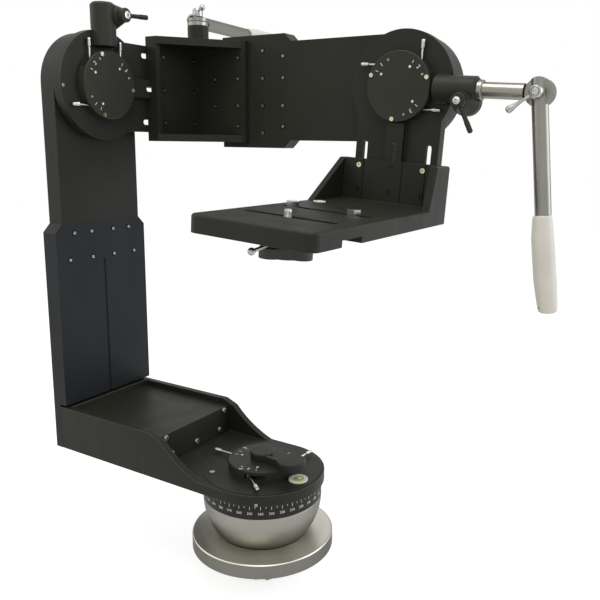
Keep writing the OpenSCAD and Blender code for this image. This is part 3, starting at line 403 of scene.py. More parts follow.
def build_materials():
    """Makes every finish once."""
    f = finish()
    black = tuple(f.black)
    silver = tuple(f.silver)
    MATERIALS.update({
        "black_anodised": anodised("black_anodised", black),
        "blue_black_anodised": anodised("blue_black_anodised", tuple(f.blue_black)),
        "satin_black": anodised("satin_black", tone(black, 1.6)),
        # Painted highlight for the bevelled edges of the black parts
        "worn_black_edge": worn_edge("worn_black_edge", black),
        "lathe_turned": lathe_turned("lathe_turned", silver),
        # Lighter and darker copies of the turned finish for the flange: painted light on its flat faces,
        # painted shade on its rim
        "turned_face": lathe_turned("turned_face", tone(silver, 2.2)),
        "turned_rim": lathe_turned("turned_rim", tone(silver, 0.62)),
        "drawn_tube": drawn_tube("drawn_tube", silver),
        # A darker copy of the tube finish for the hanging handle tubes: painted shade
        "handle_tube": drawn_tube("handle_tube", tone(silver, 0.86)),
        "steel": bright_steel("steel", tone(tuple(f.steel), 0.72), 0.28, 0.42),
        "zinc": bright_steel("zinc", tone(tuple(f.steel), 0.85), 0.12, 0.24),
        "black_steel": bright_steel("black_steel", (0.035, 0.035, 0.032), 0.30, 0.45),
        "bright_steel": bright_steel("bright_steel", tuple(f.steel), 0.16, 0.30),
        "pale_brass": bright_steel("pale_brass", tuple(f.brass), 0.24, 0.40),
        "cream_grip": moulded("cream_grip", tuple(f.cream), 0.38, 0.50, 0.05),
        "black_knob": moulded("black_knob", tone(black, 0.9), 0.38, 0.52, 0.12),
        "level_ring": moulded("level_ring", (0.62, 0.60, 0.50), 0.20, 0.32, 0.02),
        "level_fluid": moulded("level_fluid", (0.36, 0.40, 0.06), 0.06, 0.14, 0.01),
        "white_mark": white_mark(),
    })
    MATERIALS["satin_aluminium"] = MATERIALS["drawn_tube"]
    MATERIALS["level"] = MATERIALS["level_ring"]


# Mesh helpers

# Distance at which points merge, angle up to which faces are one, and angle from which an edge is hard
MERGE = mm(0.002)
FLAT = math.radians(0.4)
CREASE = math.radians(32.0)


def deselect():
    """Object mode with nothing selected."""
    if bpy.context.object is not None and bpy.context.object.mode != "OBJECT":
        bpy.ops.object.mode_set(mode="OBJECT")
    bpy.ops.object.select_all(action="DESELECT")


def activate(obj):
    """Makes one object the only selected and active one."""
    deselect()
    obj.select_set(True)
    bpy.context.view_layer.objects.active = obj


def edit(obj):
    """Edit mode on one object with all of it selected."""
    activate(obj)
    bpy.ops.object.mode_set(mode="EDIT")
    bpy.ops.mesh.select_all(action="SELECT")


def pick(obj, parts, chosen, kind="VERT"):
    """Edit mode with only those vertices, edges or polygons selected that a test chooses."""
    edit(obj)
    bpy.ops.mesh.select_mode(type=kind)
    bpy.ops.mesh.select_all(action="DESELECT")
    bpy.ops.object.mode_set(mode="OBJECT")
    for part in getattr(obj.data, parts):
        part.select = chosen(part)
    bpy.ops.object.mode_set(mode="EDIT")


def settle(obj):
    """Merges, turns normals outwards and leaves edit mode."""
    edit(obj)
    bpy.ops.mesh.remove_doubles(threshold=MERGE)
    bpy.ops.mesh.normals_make_consistent(inside=False)
    bpy.ops.object.mode_set(mode="OBJECT")
    return obj


def spun(profile, sides=48):
    """A turned piece about Z: a profile of radius and height in mm is drawn by points and spun."""
    deselect()
    bpy.ops.mesh.primitive_plane_add(size=mm(1.0))
    obj = bpy.context.object
    bpy.ops.object.mode_set(mode="EDIT")
    bpy.ops.mesh.select_mode(type="VERT")
    bpy.ops.mesh.select_all(action="SELECT")
    bpy.ops.mesh.merge(type="CENTER")
    bpy.ops.transform.translate(value=(mm(profile[0][0]), 0.0, mm(profile[0][1])))
    for (r0, z0), (r1, z1) in zip(profile, profile[1:]):
        step = (mm(r1 - r0), 0.0, mm(z1 - z0))
        bpy.ops.mesh.extrude_region_move(TRANSFORM_OT_translate={"value": step})
    bpy.ops.mesh.select_all(action="SELECT")
    bpy.ops.mesh.spin(steps=sides, angle=2 * math.pi, center=(0, 0, 0), axis=(0, 0, 1))
    return settle(obj)


def lofted(stations, sides=48):
    """A closed form along Z from stations of height, half widths across x and y, and y offset, in mm."""
    deselect()
    z0, a0, b0, c0 = stations[0]
    bpy.ops.mesh.primitive_circle_add(vertices=sides, radius=mm(1.0), fill_type="NGON")
    obj = bpy.context.object
    bpy.ops.object.mode_set(mode="EDIT")
    bpy.ops.mesh.select_all(action="SELECT")
    bpy.ops.transform.resize(value=(a0, b0, 1.0), center_override=(0, 0, 0))
    bpy.ops.transform.translate(value=(0.0, mm(c0), mm(z0)))
    for z1, a1, b1, c1 in stations[1:]:
        step = (0.0, mm(c1 - c0), mm(z1 - z0))
        bpy.ops.mesh.extrude_region_move(TRANSFORM_OT_translate={"value": step})
        bpy.ops.transform.resize(value=(a1 / a0, b1 / b0, 1.0), center_override=(0, mm(c1), mm(z1)))
        z0, a0, b0, c0 = z1, a1, b1, c1
    return settle(obj)


def round_edges(obj, width, segments=2, worn=None):
    """Bevels the hard edges and evens the shading of the flat faces."""
    activate(obj)
    bevel = obj.modifiers.new("edge", "BEVEL")
    bevel.width = width
    bevel.segments = segments
    bevel.limit_method = "ANGLE"
    bevel.angle_limit = CREASE
    # The bevel's faces can take a material slot of their own; on the black parts that slot holds a painted
    # edge highlight
    if worn is not None:
        bevel.material = worn
    bpy.ops.object.modifier_apply(modifier=bevel.name)
    return shade(obj)


def shade(obj, angle=30.0):
    """Smooth shading whose normals follow the large faces."""
    activate(obj)
    bpy.ops.object.shade_smooth_by_angle(angle=math.radians(angle))
    even = obj.modifiers.new("even", "WEIGHTED_NORMAL")
    even.keep_sharp = True
    bpy.ops.object.modifier_apply(modifier=even.name)
    return obj


def place(obj, matrix):
    """Puts an object's place into its mesh."""
    obj.data.transform(matrix @ obj.matrix_basis)
    obj.matrix_basis = Matrix.Identity(4)
    obj.data.update()
    return obj


def at(x, y, z, turn=0.0):
    """A place in a unit's frame in mm, turned about its z in degrees."""
    return Matrix.Translation((mm(x), mm(y), mm(z))) @ Matrix.Rotation(math.radians(turn), 4, "Z")


ALONG_X = Matrix.Rotation(QUARTER, 4, "Y")


def twin(obj):
    """A copy with its own mesh."""
    copy = obj.copy()
    copy.data = obj.data.copy()
    bpy.context.scene.collection.objects.link(copy)
    return copy


def joined(*pieces):
    """Several meshes as one piece."""
    activate(pieces[0])
    for piece in pieces[1:]:
        piece.select_set(True)
    if len(pieces) > 1:
        bpy.ops.object.join()
    return pieces[0]


def discard(obj):
    """Removes a pattern that has been copied."""
    bpy.data.objects.remove(obj, do_unlink=True)


def fit_piece(obj, name, body, slot, *materials):
    """Names a piece, gives it its finishes and its body."""
    obj.name = name
    obj.data.name = name
    if materials:
        obj.data.materials.clear()
        for key in materials:
            obj.data.materials.append(MATERIALS[key])
    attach(obj, body)
    return obj


def stands_for(obj, node, *materials):
    """Lets a piece take the place of a CAD node."""
    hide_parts(node)
    return fit_piece(obj, node + "_form", BODY_OF[node], SLOT_OF[node], *materials)


def merged_copy(node):
    """A copy of a CAD node's mesh with its triangles joined into faces."""
    obj = bpy.data.objects.new(node + "_form", frame["nodes"][node].data.copy())
    bpy.context.scene.collection.objects.link(obj)
    obj.data.materials.clear()
    edit(obj)
    bpy.ops.mesh.remove_doubles(threshold=MERGE)
    bpy.ops.mesh.dissolve_limited(angle_limit=FLAT)
    bpy.ops.object.mode_set(mode="OBJECT")
    return obj


def cut(obj, tool):
    """Cuts one mesh out of another and removes the tool."""
    hole = obj.modifiers.new("cut", "BOOLEAN")
    hole.object = tool
    hole.operation = "DIFFERENCE"
    activate(obj)
    bpy.ops.object.modifier_apply(modifier=hole.name)
    discard(tool)


def round_tool(radius, length, sides, spot=(0.0, 0.0, 0.0)):
    """A round cutting tool along x from its radius, length and centre in mm."""
    deselect()
    bpy.ops.mesh.primitive_cylinder_add(vertices=sides, radius=mm(radius), depth=mm(length),
                                        location=tuple(map(mm, spot)), rotation=(0.0, QUARTER, 0.0))
    return bpy.context.object


def square_tool(centre, size):
    """A cutting block from its centre and size in mm."""
    deselect()
    bpy.ops.mesh.primitive_cube_add(size=1.0)
    return place(bpy.context.object, at(*centre) @ Matrix.Diagonal((*map(mm, size), 1.0)))


def handle_frame(node):
    """Frame of a handle: its joint at the origin, y along its tube and x out of its rosette."""
    if node.startswith("front"):
        joint = TILT_FRAME @ at(FRONT_EYE, 0.0, FRONT_RISE, FRONT_LEAN - 180.0)
    else:
        post = pin("rear_handle_swing")
        joint = Matrix.Translation((post.x, post.y, post.z - mm(REAR_DROP))) @ at(0, 0, 0, REAR_LEAN)
    return joint @ Matrix.Rotation(-QUARTER, 4, "Y")


def soften(node, edge, *materials, segments=2):
    """A merged copy of a CAD node with rounded edges that stands for the node."""
    obj = merged_copy(node)
    for key in materials:
        obj.data.materials.append(MATERIALS[key])
    # A second finish, where given, goes on the bevel's faces; on the black parts it is a painted edge
    # highlight
    round_edges(obj, edge, segments, worn=1 if len(materials) > 1 else None)
    return stands_for(obj, node)


class HEAD_OT_castings(bpy.types.Operator):
    """Rounds the edges of the black castings, arms, sleeves, plates and dials"""
    bl_idname = "head.castings"
    bl_label = "Castings"

    black = ("pan_housing", "pan_plate", "lower_arm", "arm_cover", "column_arm", "pan_lock", "roll_plate",
             "corner_bracket", "tilt_arm", "tilt_sleeve", "rear_post", "tilt_plate", "scale_ring")
    dials = ("pan_dial", "roll_dial", "tilt_dial")
    sockets = ("roll_socket", "tilt_socket")
    socket_edge = mm(1.8)

    def execute(self, context):
        # The bevelled edges of the black parts take a painted highlight
        for node in self.black:
            soften(node, finish().edge, "black_anodised", "worn_black_edge")
        soften("column_sleeve", finish().edge, "blue_black_anodised", "worn_black_edge")
        for node in self.dials:
            soften(node, finish().edge, "satin_black", "worn_black_edge")
        for node in self.sockets:
            soften(node, self.socket_edge, "satin_black", "satin_black", segments=4)
        return {"FINISHED"}


class HEAD_OT_platform(bpy.types.Operator):
    """Rounds the camera platform, most of all along its top edge"""
    bl_idname = "head.platform"
    bl_label = "Platform"

    # Places of the platform's faces in the tilt unit's frame, and how near to them an edge has to lie
    top = mm(PLATFORM_TOP)
    side = mm(75.5)
    front = mm(326.4)
    corner = mm(12.5)
    gusset_end = mm(105.0)
    near_top = mm(0.05)
    near_side = mm(0.3)

    def execute(self, context):
        obj = merged_copy("platform")
        # The second finish is a painted highlight on the bevelled edges
        for key in ("black_anodised", "worn_black_edge"):
            obj.data.materials.append(MATERIALS[key])
        self.round_top(obj)
        round_edges(obj, finish().edge, worn=1)
        stands_for(obj, "platform")
        return {"FINISHED"}

    def round_top(self, obj):
        """Bevels the outer top edge and the gussets' outer edges."""
        local = TILT_FRAME.inverted()
        places = [local @ v.co for v in obj.data.vertices]
        pick(obj, "edges", lambda edge: all(self.on_rim(places[i]) for i in edge.vertices), "EDGE")
        bpy.ops.mesh.bevel(offset=finish().platform_edge, segments=4, affect="EDGES", clamp_overlap=True)
        bpy.ops.mesh.select_mode(type="VERT")
        bpy.ops.object.mode_set(mode="OBJECT")

    def on_rim(self, p):
        """Tells whether a point lies on the edges to round."""
        flank = abs(p.x) > self.side - self.near_side
        on_top = abs(p.y - self.top) < self.near_top
        if p.z < self.gusset_end:
            return flank and p.y > self.top - self.near_top
        return on_top and (flank or p.z > self.front - self.corner)


class HEAD_OT_turned_work(bpy.types.Operator):
    """Finishes the flange, ball, bars and tubes"""
    bl_idname = "head.turned_work"
    bl_label = "Turned work"

    turned_edge = mm(0.9)
    bar_edge = mm(0.6)
    # Finishes of the flange: a lighter copy of the turned finish on its flat faces as painted light, the
    # plain one on its bevels and a darker copy on its upright faces as painted shade; faces with a normal
    # that rises less than this count as upright
    flange_finishes = ("turned_face", "lathe_turned", "turned_rim")
    upright = 0.3
    # Profiles of the handles' hollow tube and knuckle in mm
    tube = ((7.0, -17.5), (9.1, -17.5), (9.5, -17.1), (9.5, GRIP_START), (7.0, GRIP_START), (7.0, -17.5))
    knuckle = ((4.2, 0.15), (16.0, 0.15), (16.6, 0.7), (16.6, 5.0), (16.0, 5.6), (4.2, 5.6), (4.2, 0.15))
    # Centres and sizes of the half that is cut off the tube's end and of the block at its corners, in mm
    lap = ((-12.35, -4.0, 0.0), (25.0, 42.0, 30.0))
    corners = ((6.0, -18.0, 0.0), (14.0, 20.0, 24.0))
    # Radius of the end that swings past the bar and length of the tool that leaves it, in mm
    swing_r = 16.9
    swing_l = 60.0

    def execute(self, context):
        soften("half_ball", self.turned_edge, "lathe_turned", "lathe_turned", segments=3)
        # The flange's flat faces take a lighter and its rim a darker copy of the turned finish: painted
        # light and painted shade
        self.darken_rim(soften("bowl_flange", self.turned_edge, *self.flange_finishes, segments=3))
        for node in ("rear_eye", "front_bar"):
            soften(node, self.bar_edge, "drawn_tube", "drawn_tube", segments=3)
        pattern = self.handle_tube()
        # The handle tubes take the darker copy of the tube finish: painted shade
        for node in ("rear_tube", "front_tube"):
            stands_for(place(twin(pattern), handle_frame(node)), node, "handle_tube")
        discard(pattern)
        return {"FINISHED"}

    def handle_tube(self):
        """Hollow tube along y, cut to half its depth where it lies across its round knuckle."""
        tube = place(spun(self.tube, 64), Matrix.Rotation(-QUARTER, 4, "X"))
        cut(tube, square_tool(*self.lap))
        corners = square_tool(*self.corners)
        cut(corners, round_tool(self.swing_r, self.swing_l, 96))
        cut(tube, corners)
        knuckle = place(spun(self.knuckle, 72), ALONG_X)
        return shade(joined(tube, knuckle))

    def darken_rim(self, flange):
        """Gives the flange's upright faces the darker copy of the turned finish: painted shade on its rim.
        """
        rim = self.flange_finishes.index("turned_rim")
        for face in flange.data.polygons:
            if abs(face.normal.z) < self.upright:
                face.material_index = rim


class HEAD_OT_grips(bpy.types.Operator):
    """Moulds the two cream grips with their slightly swept form and end hole"""
    bl_idname = "head.grips"
    bl_label = "Grips"

    # Height along the grip, half depth, half width and sideways offset in mm
    stations = ((0.0, 9.6, 9.8, 0.8), (0.9, 10.5, 10.7, 1.0), (3.0, 11.0, 11.2, 1.1),
                (25.0, 12.7, 12.9, 1.4), (27.0, 12.8, 13.0, 1.4), (52.0, 12.9, 13.3, 0.7),
                (77.0, 12.8, 13.3, 0.0), (80.0, 12.7, 13.2, -0.2), (100.0, 12.2, 12.2, -1.3),
                (110.0, 11.7, 11.5, -1.9), (113.2, 11.0, 10.9, -2.1), (115.0, 8.6, 8.6, -2.1))
    # Radius, length and place of the small hole near the end in mm
    hole_r = 1.1
    hole_l = 9.0
    hole_at = (11.0, 5.5, 108.0)

    def execute(self, context):
        pattern = lofted(self.stations, 56)
        cut(pattern, round_tool(self.hole_r, self.hole_l, 20, self.hole_at))
        shade(pattern, 40.0)
        along = Matrix.Translation((0.0, mm(GRIP_START), 0.0)) @ Matrix.Rotation(-QUARTER, 4, "X")
        for node in ("front_grip", "rear_grip"):
            stands_for(place(twin(pattern), handle_frame(node) @ along), node, "cream_grip")
        discard(pattern)
        return {"FINISHED"}


class HEAD_OT_drag_levers(bpy.types.Operator):
    """Turns the nine drag levers with ringed tips"""
    bl_idname = "head.drag_levers"
    bl_label = "Drag levers"

    # Profile of the hub, radii of the rod, and length, ring pitch and number of rings of its tip, in mm
    hub = ((1.55, -2.5), (3.1, -2.5), (3.4, -2.2), (3.4, 2.2), (3.1, 2.5), (1.55, 2.5), (1.55, -2.5))
    shank_r = 1.25
    neck_r = 0.95
    tip_r = 2.3
    groove_r = 2.05
    tip_l = 10.8
    ring_pitch = 1.3
    rings = 6

    def rod(self, reach):
        """Profile from the hub to the rounded end, with rings round the tip."""
        tip = reach - self.tip_l
        points = [(0.0, 2.2), (self.shank_r, 2.2), (self.shank_r, tip - 1.6), (self.neck_r, tip - 1.0),
                  (self.neck_r, tip), (1.9, tip), (self.tip_r, tip + 0.4)]
        for ring in range(self.rings):
            z = tip + 1.0 + ring * self.ring_pitch
            points += [(self.tip_r, z), (self.groove_r, z + 0.3), (self.tip_r, z + 0.6)]
        return points + [(self.tip_r, reach - 1.4), (2.0, reach - 0.4), (1.2, reach), (0.0, reach)]

    def execute(self, context):
        for unit, values in UNITS.items():
            stem = place(spun(self.rod(values["reach"]), 24), ALONG_X)
            pattern = shade(joined(spun(self.hub, 32), stem))
            for letter, pivot, point in zip("abc", values["pivots"], values["points"]):
                swing = at(0, 0, 0, pivot) @ Matrix.Translation((PIVOT_R, 0.0, PLATE_FACE + LEVER_RISE))
                lay = values["frame"] @ swing @ at(0, 0, 0, point - pivot)
                stands_for(place(twin(pattern), lay), f"{unit}_lever_{letter}", "bright_steel")
            discard(pattern)
        return {"FINISHED"}


class HEAD_OT_clamps(bpy.types.Operator):
    """Makes the black socket clamps with splined screws and the teardrop rosette levers"""
    bl_idname = "head.clamps"
    bl_label = "Clamps"

    # Teardrop lever, hub and screw profiles in mm
    drop = ((0.0, 5.0), (1.7, 5.0), (1.6, 12.0), (1.9, 19.0), (2.7, 26.0), (3.7, 31.0), (4.3, 33.6),
            (4.4, 35.2), (3.9, 37.0), (2.6, 38.1), (1.2, 38.5), (0.0, 38.5))
    hub = ((0.0, -3.6), (8.0, -3.6), (8.0, 5.2), (6.8, 7.6), (5.8, 8.3), (4.9, 8.3), (4.9, 6.2), (0.0, 6.2))
    screw = ((0.0, 5.5), (3.9, 5.5), (3.9, 8.6), (3.5, 9.0), (2.2, 9.0), (2.2, 6.8), (0.0, 6.8))
    # Places of the socket screws and the rosette levers in mm, and the levers' turns in degrees
    screw_at = (87.5, -14.0, 48.3)
    drop_rise = 4.3
    front_rise = 32.0
    front_turn = 217.0
    rear_drop = 4.0
    rear_turn = -38.0
    # Splined head: its radius and height in mm, its splines and how far they are cut in
    head_r = 5.0
    head_h = 4.0
    splines = 12
    spline_share = 0.84
    head_edge = mm(0.18)
    # Widths of the splined head's rim and lip, how far the lip rises and how deep the socket is
    head_rim = mm(1.1)
    head_lip = mm(0.6)
    head_rise = mm(0.7)
    socket_depth = mm(2.0)
    clamp_edge = mm(0.5)
    screw_edge = mm(0.15)

    def execute(self, context):
        self.socket_clamps()
        self.rosette_levers()
        return {"FINISHED"}

    def socket_clamps(self):
        """The clamps of the two bar sockets with their screws."""
        pattern = self.splined()
        for unit in ("roll", "tilt"):
            # The clamp's bevelled edges take a painted highlight
            soften(unit + "_clamp", self.clamp_edge, "satin_black", "worn_black_edge")
            lay = UNITS[unit]["frame"] @ at(*self.screw_at)
            fit_piece(place(twin(pattern), lay), unit + "_clamp_screw", unit + "_clamp", "bright_steel",
                      "bright_steel")
        discard(pattern)

    def splined(self):
        """Screw head with twelve splines and a socket."""
        deselect()
        bpy.ops.mesh.primitive_cylinder_add(vertices=2 * self.splines, radius=mm(self.head_r),
                                            depth=mm(self.head_h))
        obj = bpy.context.object
        sector = math.pi / self.splines
        share = self.spline_share
        pick(obj, "vertices", lambda v: round(math.atan2(v.co.y, v.co.x) / sector) % 2 == 0)
        bpy.ops.transform.resize(value=(share, share, 1.0), center_override=(0, 0, 0))
        pick(obj, "polygons", lambda face: face.normal.z > 0.9)
        bpy.ops.mesh.inset(thickness=self.head_rim)
        bpy.ops.mesh.inset(thickness=self.head_lip, depth=self.head_rise)
        bpy.ops.mesh.inset(thickness=self.head_lip)
        bpy.ops.mesh.extrude_region_move(TRANSFORM_OT_translate={"value": (0, 0, -self.socket_depth)})
        bpy.ops.object.mode_set(mode="OBJECT")
        return round_edges(settle(obj), self.head_edge)

    def rosette_levers(self):
        """The teardrop levers on the handles' rosettes with their screws."""
        drop = place(spun(self.drop, 28), at(0, 0, self.drop_rise) @ ALONG_X)
        lever = joined(drop, spun(self.hub, 40))
        shade(lever, 35.0)
        screw = round_edges(spun(self.screw, 36), self.screw_edge)
        rear = pin("rear_clamp_swing")
        rear_face = Matrix.Translation((rear.x, rear.y, rear.z - mm(self.rear_drop)))
        lays = {"front_clamp": TILT_FRAME @ at(FRONT_EYE, 0.0, self.front_rise, self.front_turn),
                "rear_clamp": rear_face @ at(0, 0, 0, self.rear_turn)}
        for node, lay in lays.items():
            stands_for(place(twin(lever), lay), node, "steel")
            fit_piece(place(twin(screw), lay), node + "_screw", BODY_OF[node], "steel", "bright_steel")
        discard(lever)
        discard(screw)


class HEAD_OT_camera_fixing(bpy.types.Operator):
    """Makes the camera screw's knob, threaded stud and lock lever, and the tie-down knob"""
    bl_idname = "head.camera_fixing"
    bl_label = "Camera fixing"

    # Place, ends, pitch and thread radii of the stud in mm
    stud_at = (-2.0, PLATFORM_TOP, 254.4)
    stud_foot = -3.0
    stud_top = 8.0
    pitch = 1.4
    root_r = 3.9
    crest_r = 4.4
    # How far under the platform's top the knob's own screw ends in mm
    knob_depth = 2.8
    lever_edge = mm(0.5)
    knob_edge = mm(1.1)
    tie_edge = mm(1.0)

    def execute(self, context):
        self.knob()
        self.stud()
        soften("camera_lever", self.lever_edge, "steel", "steel", segments=3)
        soften("tie_down", self.tie_edge, "black_knob", "black_knob", segments=3)
        return {"FINISHED"}

    def knob(self):
        """The moulded knob, cut off below the platform's top so that the stud can be bright."""
        obj = merged_copy("camera_screw")
        end = TILT_FRAME @ Vector((0.0, mm(PLATFORM_TOP - self.knob_depth), 0.0))
        up = TILT_FRAME.to_3x3() @ Vector((0.0, 1.0, 0.0))
        edit(obj)
        bpy.ops.mesh.bisect(plane_co=end, plane_no=up, clear_outer=True, use_fill=True)
        bpy.ops.object.mode_set(mode="OBJECT")
        round_edges(obj, self.knob_edge, 4)
        stands_for(obj, "camera_screw", "black_knob")

    def stud(self):
        """Threaded stud that stands out of the slot."""
        points = [(0.0, self.stud_foot), (4.3, self.stud_foot)]
        turns = int((self.stud_top + 1.0) / self.pitch)
        for turn in range(turns):
            z = self.stud_foot + 0.6 + turn * self.pitch
            points += [(self.root_r, z), (self.crest_r, z + self.pitch / 2)]
        end = self.stud_top - 0.1
        points += [(self.root_r, self.stud_top - 0.9), (3.4, end), (0.0, end)]
        obj = shade(spun(points, 40), 20.0)
        stand = TILT_FRAME @ at(*self.stud_at) @ Matrix.Rotation(-QUARTER, 4, "X")
        fit_piece(place(obj, stand), "camera_stud", "camera_screw", "steel", "steel")


class HEAD_OT_levels(bpy.types.Operator):
    """Makes the round spirit levels of the pan housing and the platform"""
    bl_idname = "head.levels"
    bl_label = "Levels"

    # Radii of the two levels and place of the platform's one in mm
    pan_r = 12.0
    platform_r = 8.0
    platform_at = (-54.0, PLATFORM_TOP + 1.0, 108.0)

    def execute(self, context):
        low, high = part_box("pan_level")
        centre = (Vector(low) + Vector(high)) / 2
        pan = Matrix.Translation((centre.x, centre.y, high[2]))
        self.level("pan_level", pan, self.pan_r)
        plat = TILT_FRAME @ at(*self.platform_at) @ Matrix.Rotation(-QUARTER, 4, "X")
        self.level("platform_level", plat, self.platform_r)
        return {"FINISHED"}

    def level(self, node, lay, r):
        """A cream ring of a radius in mm round a domed green vial with its bubble, its top at z = 0."""
        bore = r * 0.56
        ring = ((bore, -2.4), (r - 0.1, -2.4), (r - 0.1, -0.5), (r - 0.6, 0.0), (r * 0.60, 0.0),
                (bore, -0.4), (bore, -2.4))
        dome = ((0.0, -2.2), (r * 0.555, -2.2), (r * 0.555, -0.7), (r * 0.40, -0.35), (r * 0.2, -0.18),
                (0.0, -0.12))
        bubble = ((0.0, -0.5), (r * 0.20, -0.4), (r * 0.22, -0.12), (r * 0.12, 0.02), (0.0, 0.05))
        body = BODY_OF[node]
        stands_for(place(shade(spun(ring, 56)), lay), node, "level_ring")
        fit_piece(place(shade(spun(dome, 48), 60.0), lay), node + "_vial", body, "level", "level_fluid")
        off = lay @ at(r * 0.12, r * 0.1, 0.0)
        fit_piece(place(shade(spun(bubble, 32), 60.0), off), node + "_bubble", body, "level", "level_ring")


class HEAD_OT_screws(bpy.types.Operator):
    """Finishes the screws and bolts and the pieces inside the head"""
    bl_idname = "head.screws"
    bl_label = "Screws"

    # Height above which the screws are sunk
    sunk_above = mm(250.0)
    # Bounds in the tilt unit's frame that tell the platform's bolts apart
    bolt_wall = mm(100.0)
    bolt_row = mm(-115.0)
    bolt_column = mm(30.0)
    bolt_metals = ("zinc", "pale_brass", "black_steel")
    dial_edge = mm(0.2)
    sunk_edge = mm(0.3)
    bolt_edge = mm(0.35)
    # Profile and places of the small set screws in mm, and the index screw's turn in degrees
    dot = ((0.0, -1.2), (1.9, -1.2), (1.9, 0.15), (1.6, 0.4), (0.9, 0.4), (0.9, -0.5), (0.0, -0.5))
    index_at = (78.5, 0.0, 88.8)
    index_turn = -59.7
    pan_dot_at = (-43.0, -47.5, 16.6)
    roll_stop_at = (-4.0, 66.0, 16.6)

    def execute(self, context):
        for node in ("pan_screws", "bracket_screws"):
            self.sink(node)
        self.bolts()
        for node in ("roll_screws", "tilt_screws"):
            soften(node, self.dial_edge, "pale_brass", "pale_brass")
        self.dot_screws()
        for node, obj in frame["nodes"].items():
            if not obj.hide_render:
                obj.data.materials.clear()
                obj.data.materials.append(MATERIALS[SLOT_OF[node]])
        return {"FINISHED"}

    def islands(self, obj):
        """The separate screws of a mesh as lists of vertex numbers."""
        root = list(range(len(obj.data.vertices)))

        def top(i):
            """The vertex that stands for a vertex's whole screw."""
            while root[i] != i:
                root[i] = root[root[i]]
                i = root[i]
            return i

        for edge in obj.data.edges:
            a, b = edge.vertices
            root[top(a)] = top(b)
        groups = {}
        for i in range(len(root)):
            groups.setdefault(top(i), []).append(i)
        return list(groups.values())

    def sink(self, node):
        """Narrows the sunk screws of the arms, so that a dark recess shows round each head."""
        obj = merged_copy(node)
        share = sizes().screw_share
        for group in self.islands(obj):
            places = [obj.data.vertices[i].co.copy() for i in group]
            low = Vector([min(p[k] for p in places) for k in range(3)])
            high = Vector([max(p[k] for p in places) for k in range(3)])
            if low.z < self.sunk_above:
                continue
            spread = high - low
            along = max(range(3), key=lambda k: spread[k])
            chosen = set(group)
            pick(obj, "vertices", lambda v: v.index in chosen)
            value = tuple(1.0 if k == along else share for k in range(3))
            bpy.ops.transform.resize(value=value, center_override=tuple((low + high) / 2))
            bpy.ops.object.mode_set(mode="OBJECT")
        round_edges(obj, self.sunk_edge)
        stands_for(obj, node, "steel")

    def bolts(self):
        """Wall bolts in black with two in brass, and plated bolts in the camera slot."""
        obj = merged_copy("platform_bolts")
        local = TILT_FRAME.inverted()
        kind = {}
        for group in self.islands(obj):
            centre = sum((local @ obj.data.vertices[i].co for i in group), Vector()) / len(group)
            upper = centre.y > self.bolt_row and abs(centre.x) > self.bolt_column
            metal = "black_steel"
            if centre.z > self.bolt_wall:
                metal = "zinc"
            elif upper:
                metal = "pale_brass"
            kind.update((i, self.bolt_metals.index(metal)) for i in group)
        for key in self.bolt_metals:
            obj.data.materials.append(MATERIALS[key])
        for face in obj.data.polygons:
            face.material_index = kind[face.vertices[0]]
        round_edges(obj, self.bolt_edge)
        stands_for(obj, "platform_bolts")

    def dot_screws(self):
        """Small set screws: the pan housing's index, one in the pan plate and the roll plate's stop."""
        pattern = shade(spun(self.dot, 28))
        rim = at(0, 0, 0, self.index_turn) @ at(*self.index_at) @ ALONG_X
        fit_piece(place(twin(pattern), rim), "index_dot", "pan", "steel", "steel")
        plate = PAN_FRAME @ at(*self.pan_dot_at)
        fit_piece(place(twin(pattern), plate), "pan_plate_dot", "pan", "pale_brass", "pale_brass")
        edge = ROLL_FRAME @ at(*self.roll_stop_at)
        fit_piece(place(twin(pattern), edge), "roll_plate_stop", "roll", "steel", "steel")
        discard(pattern)


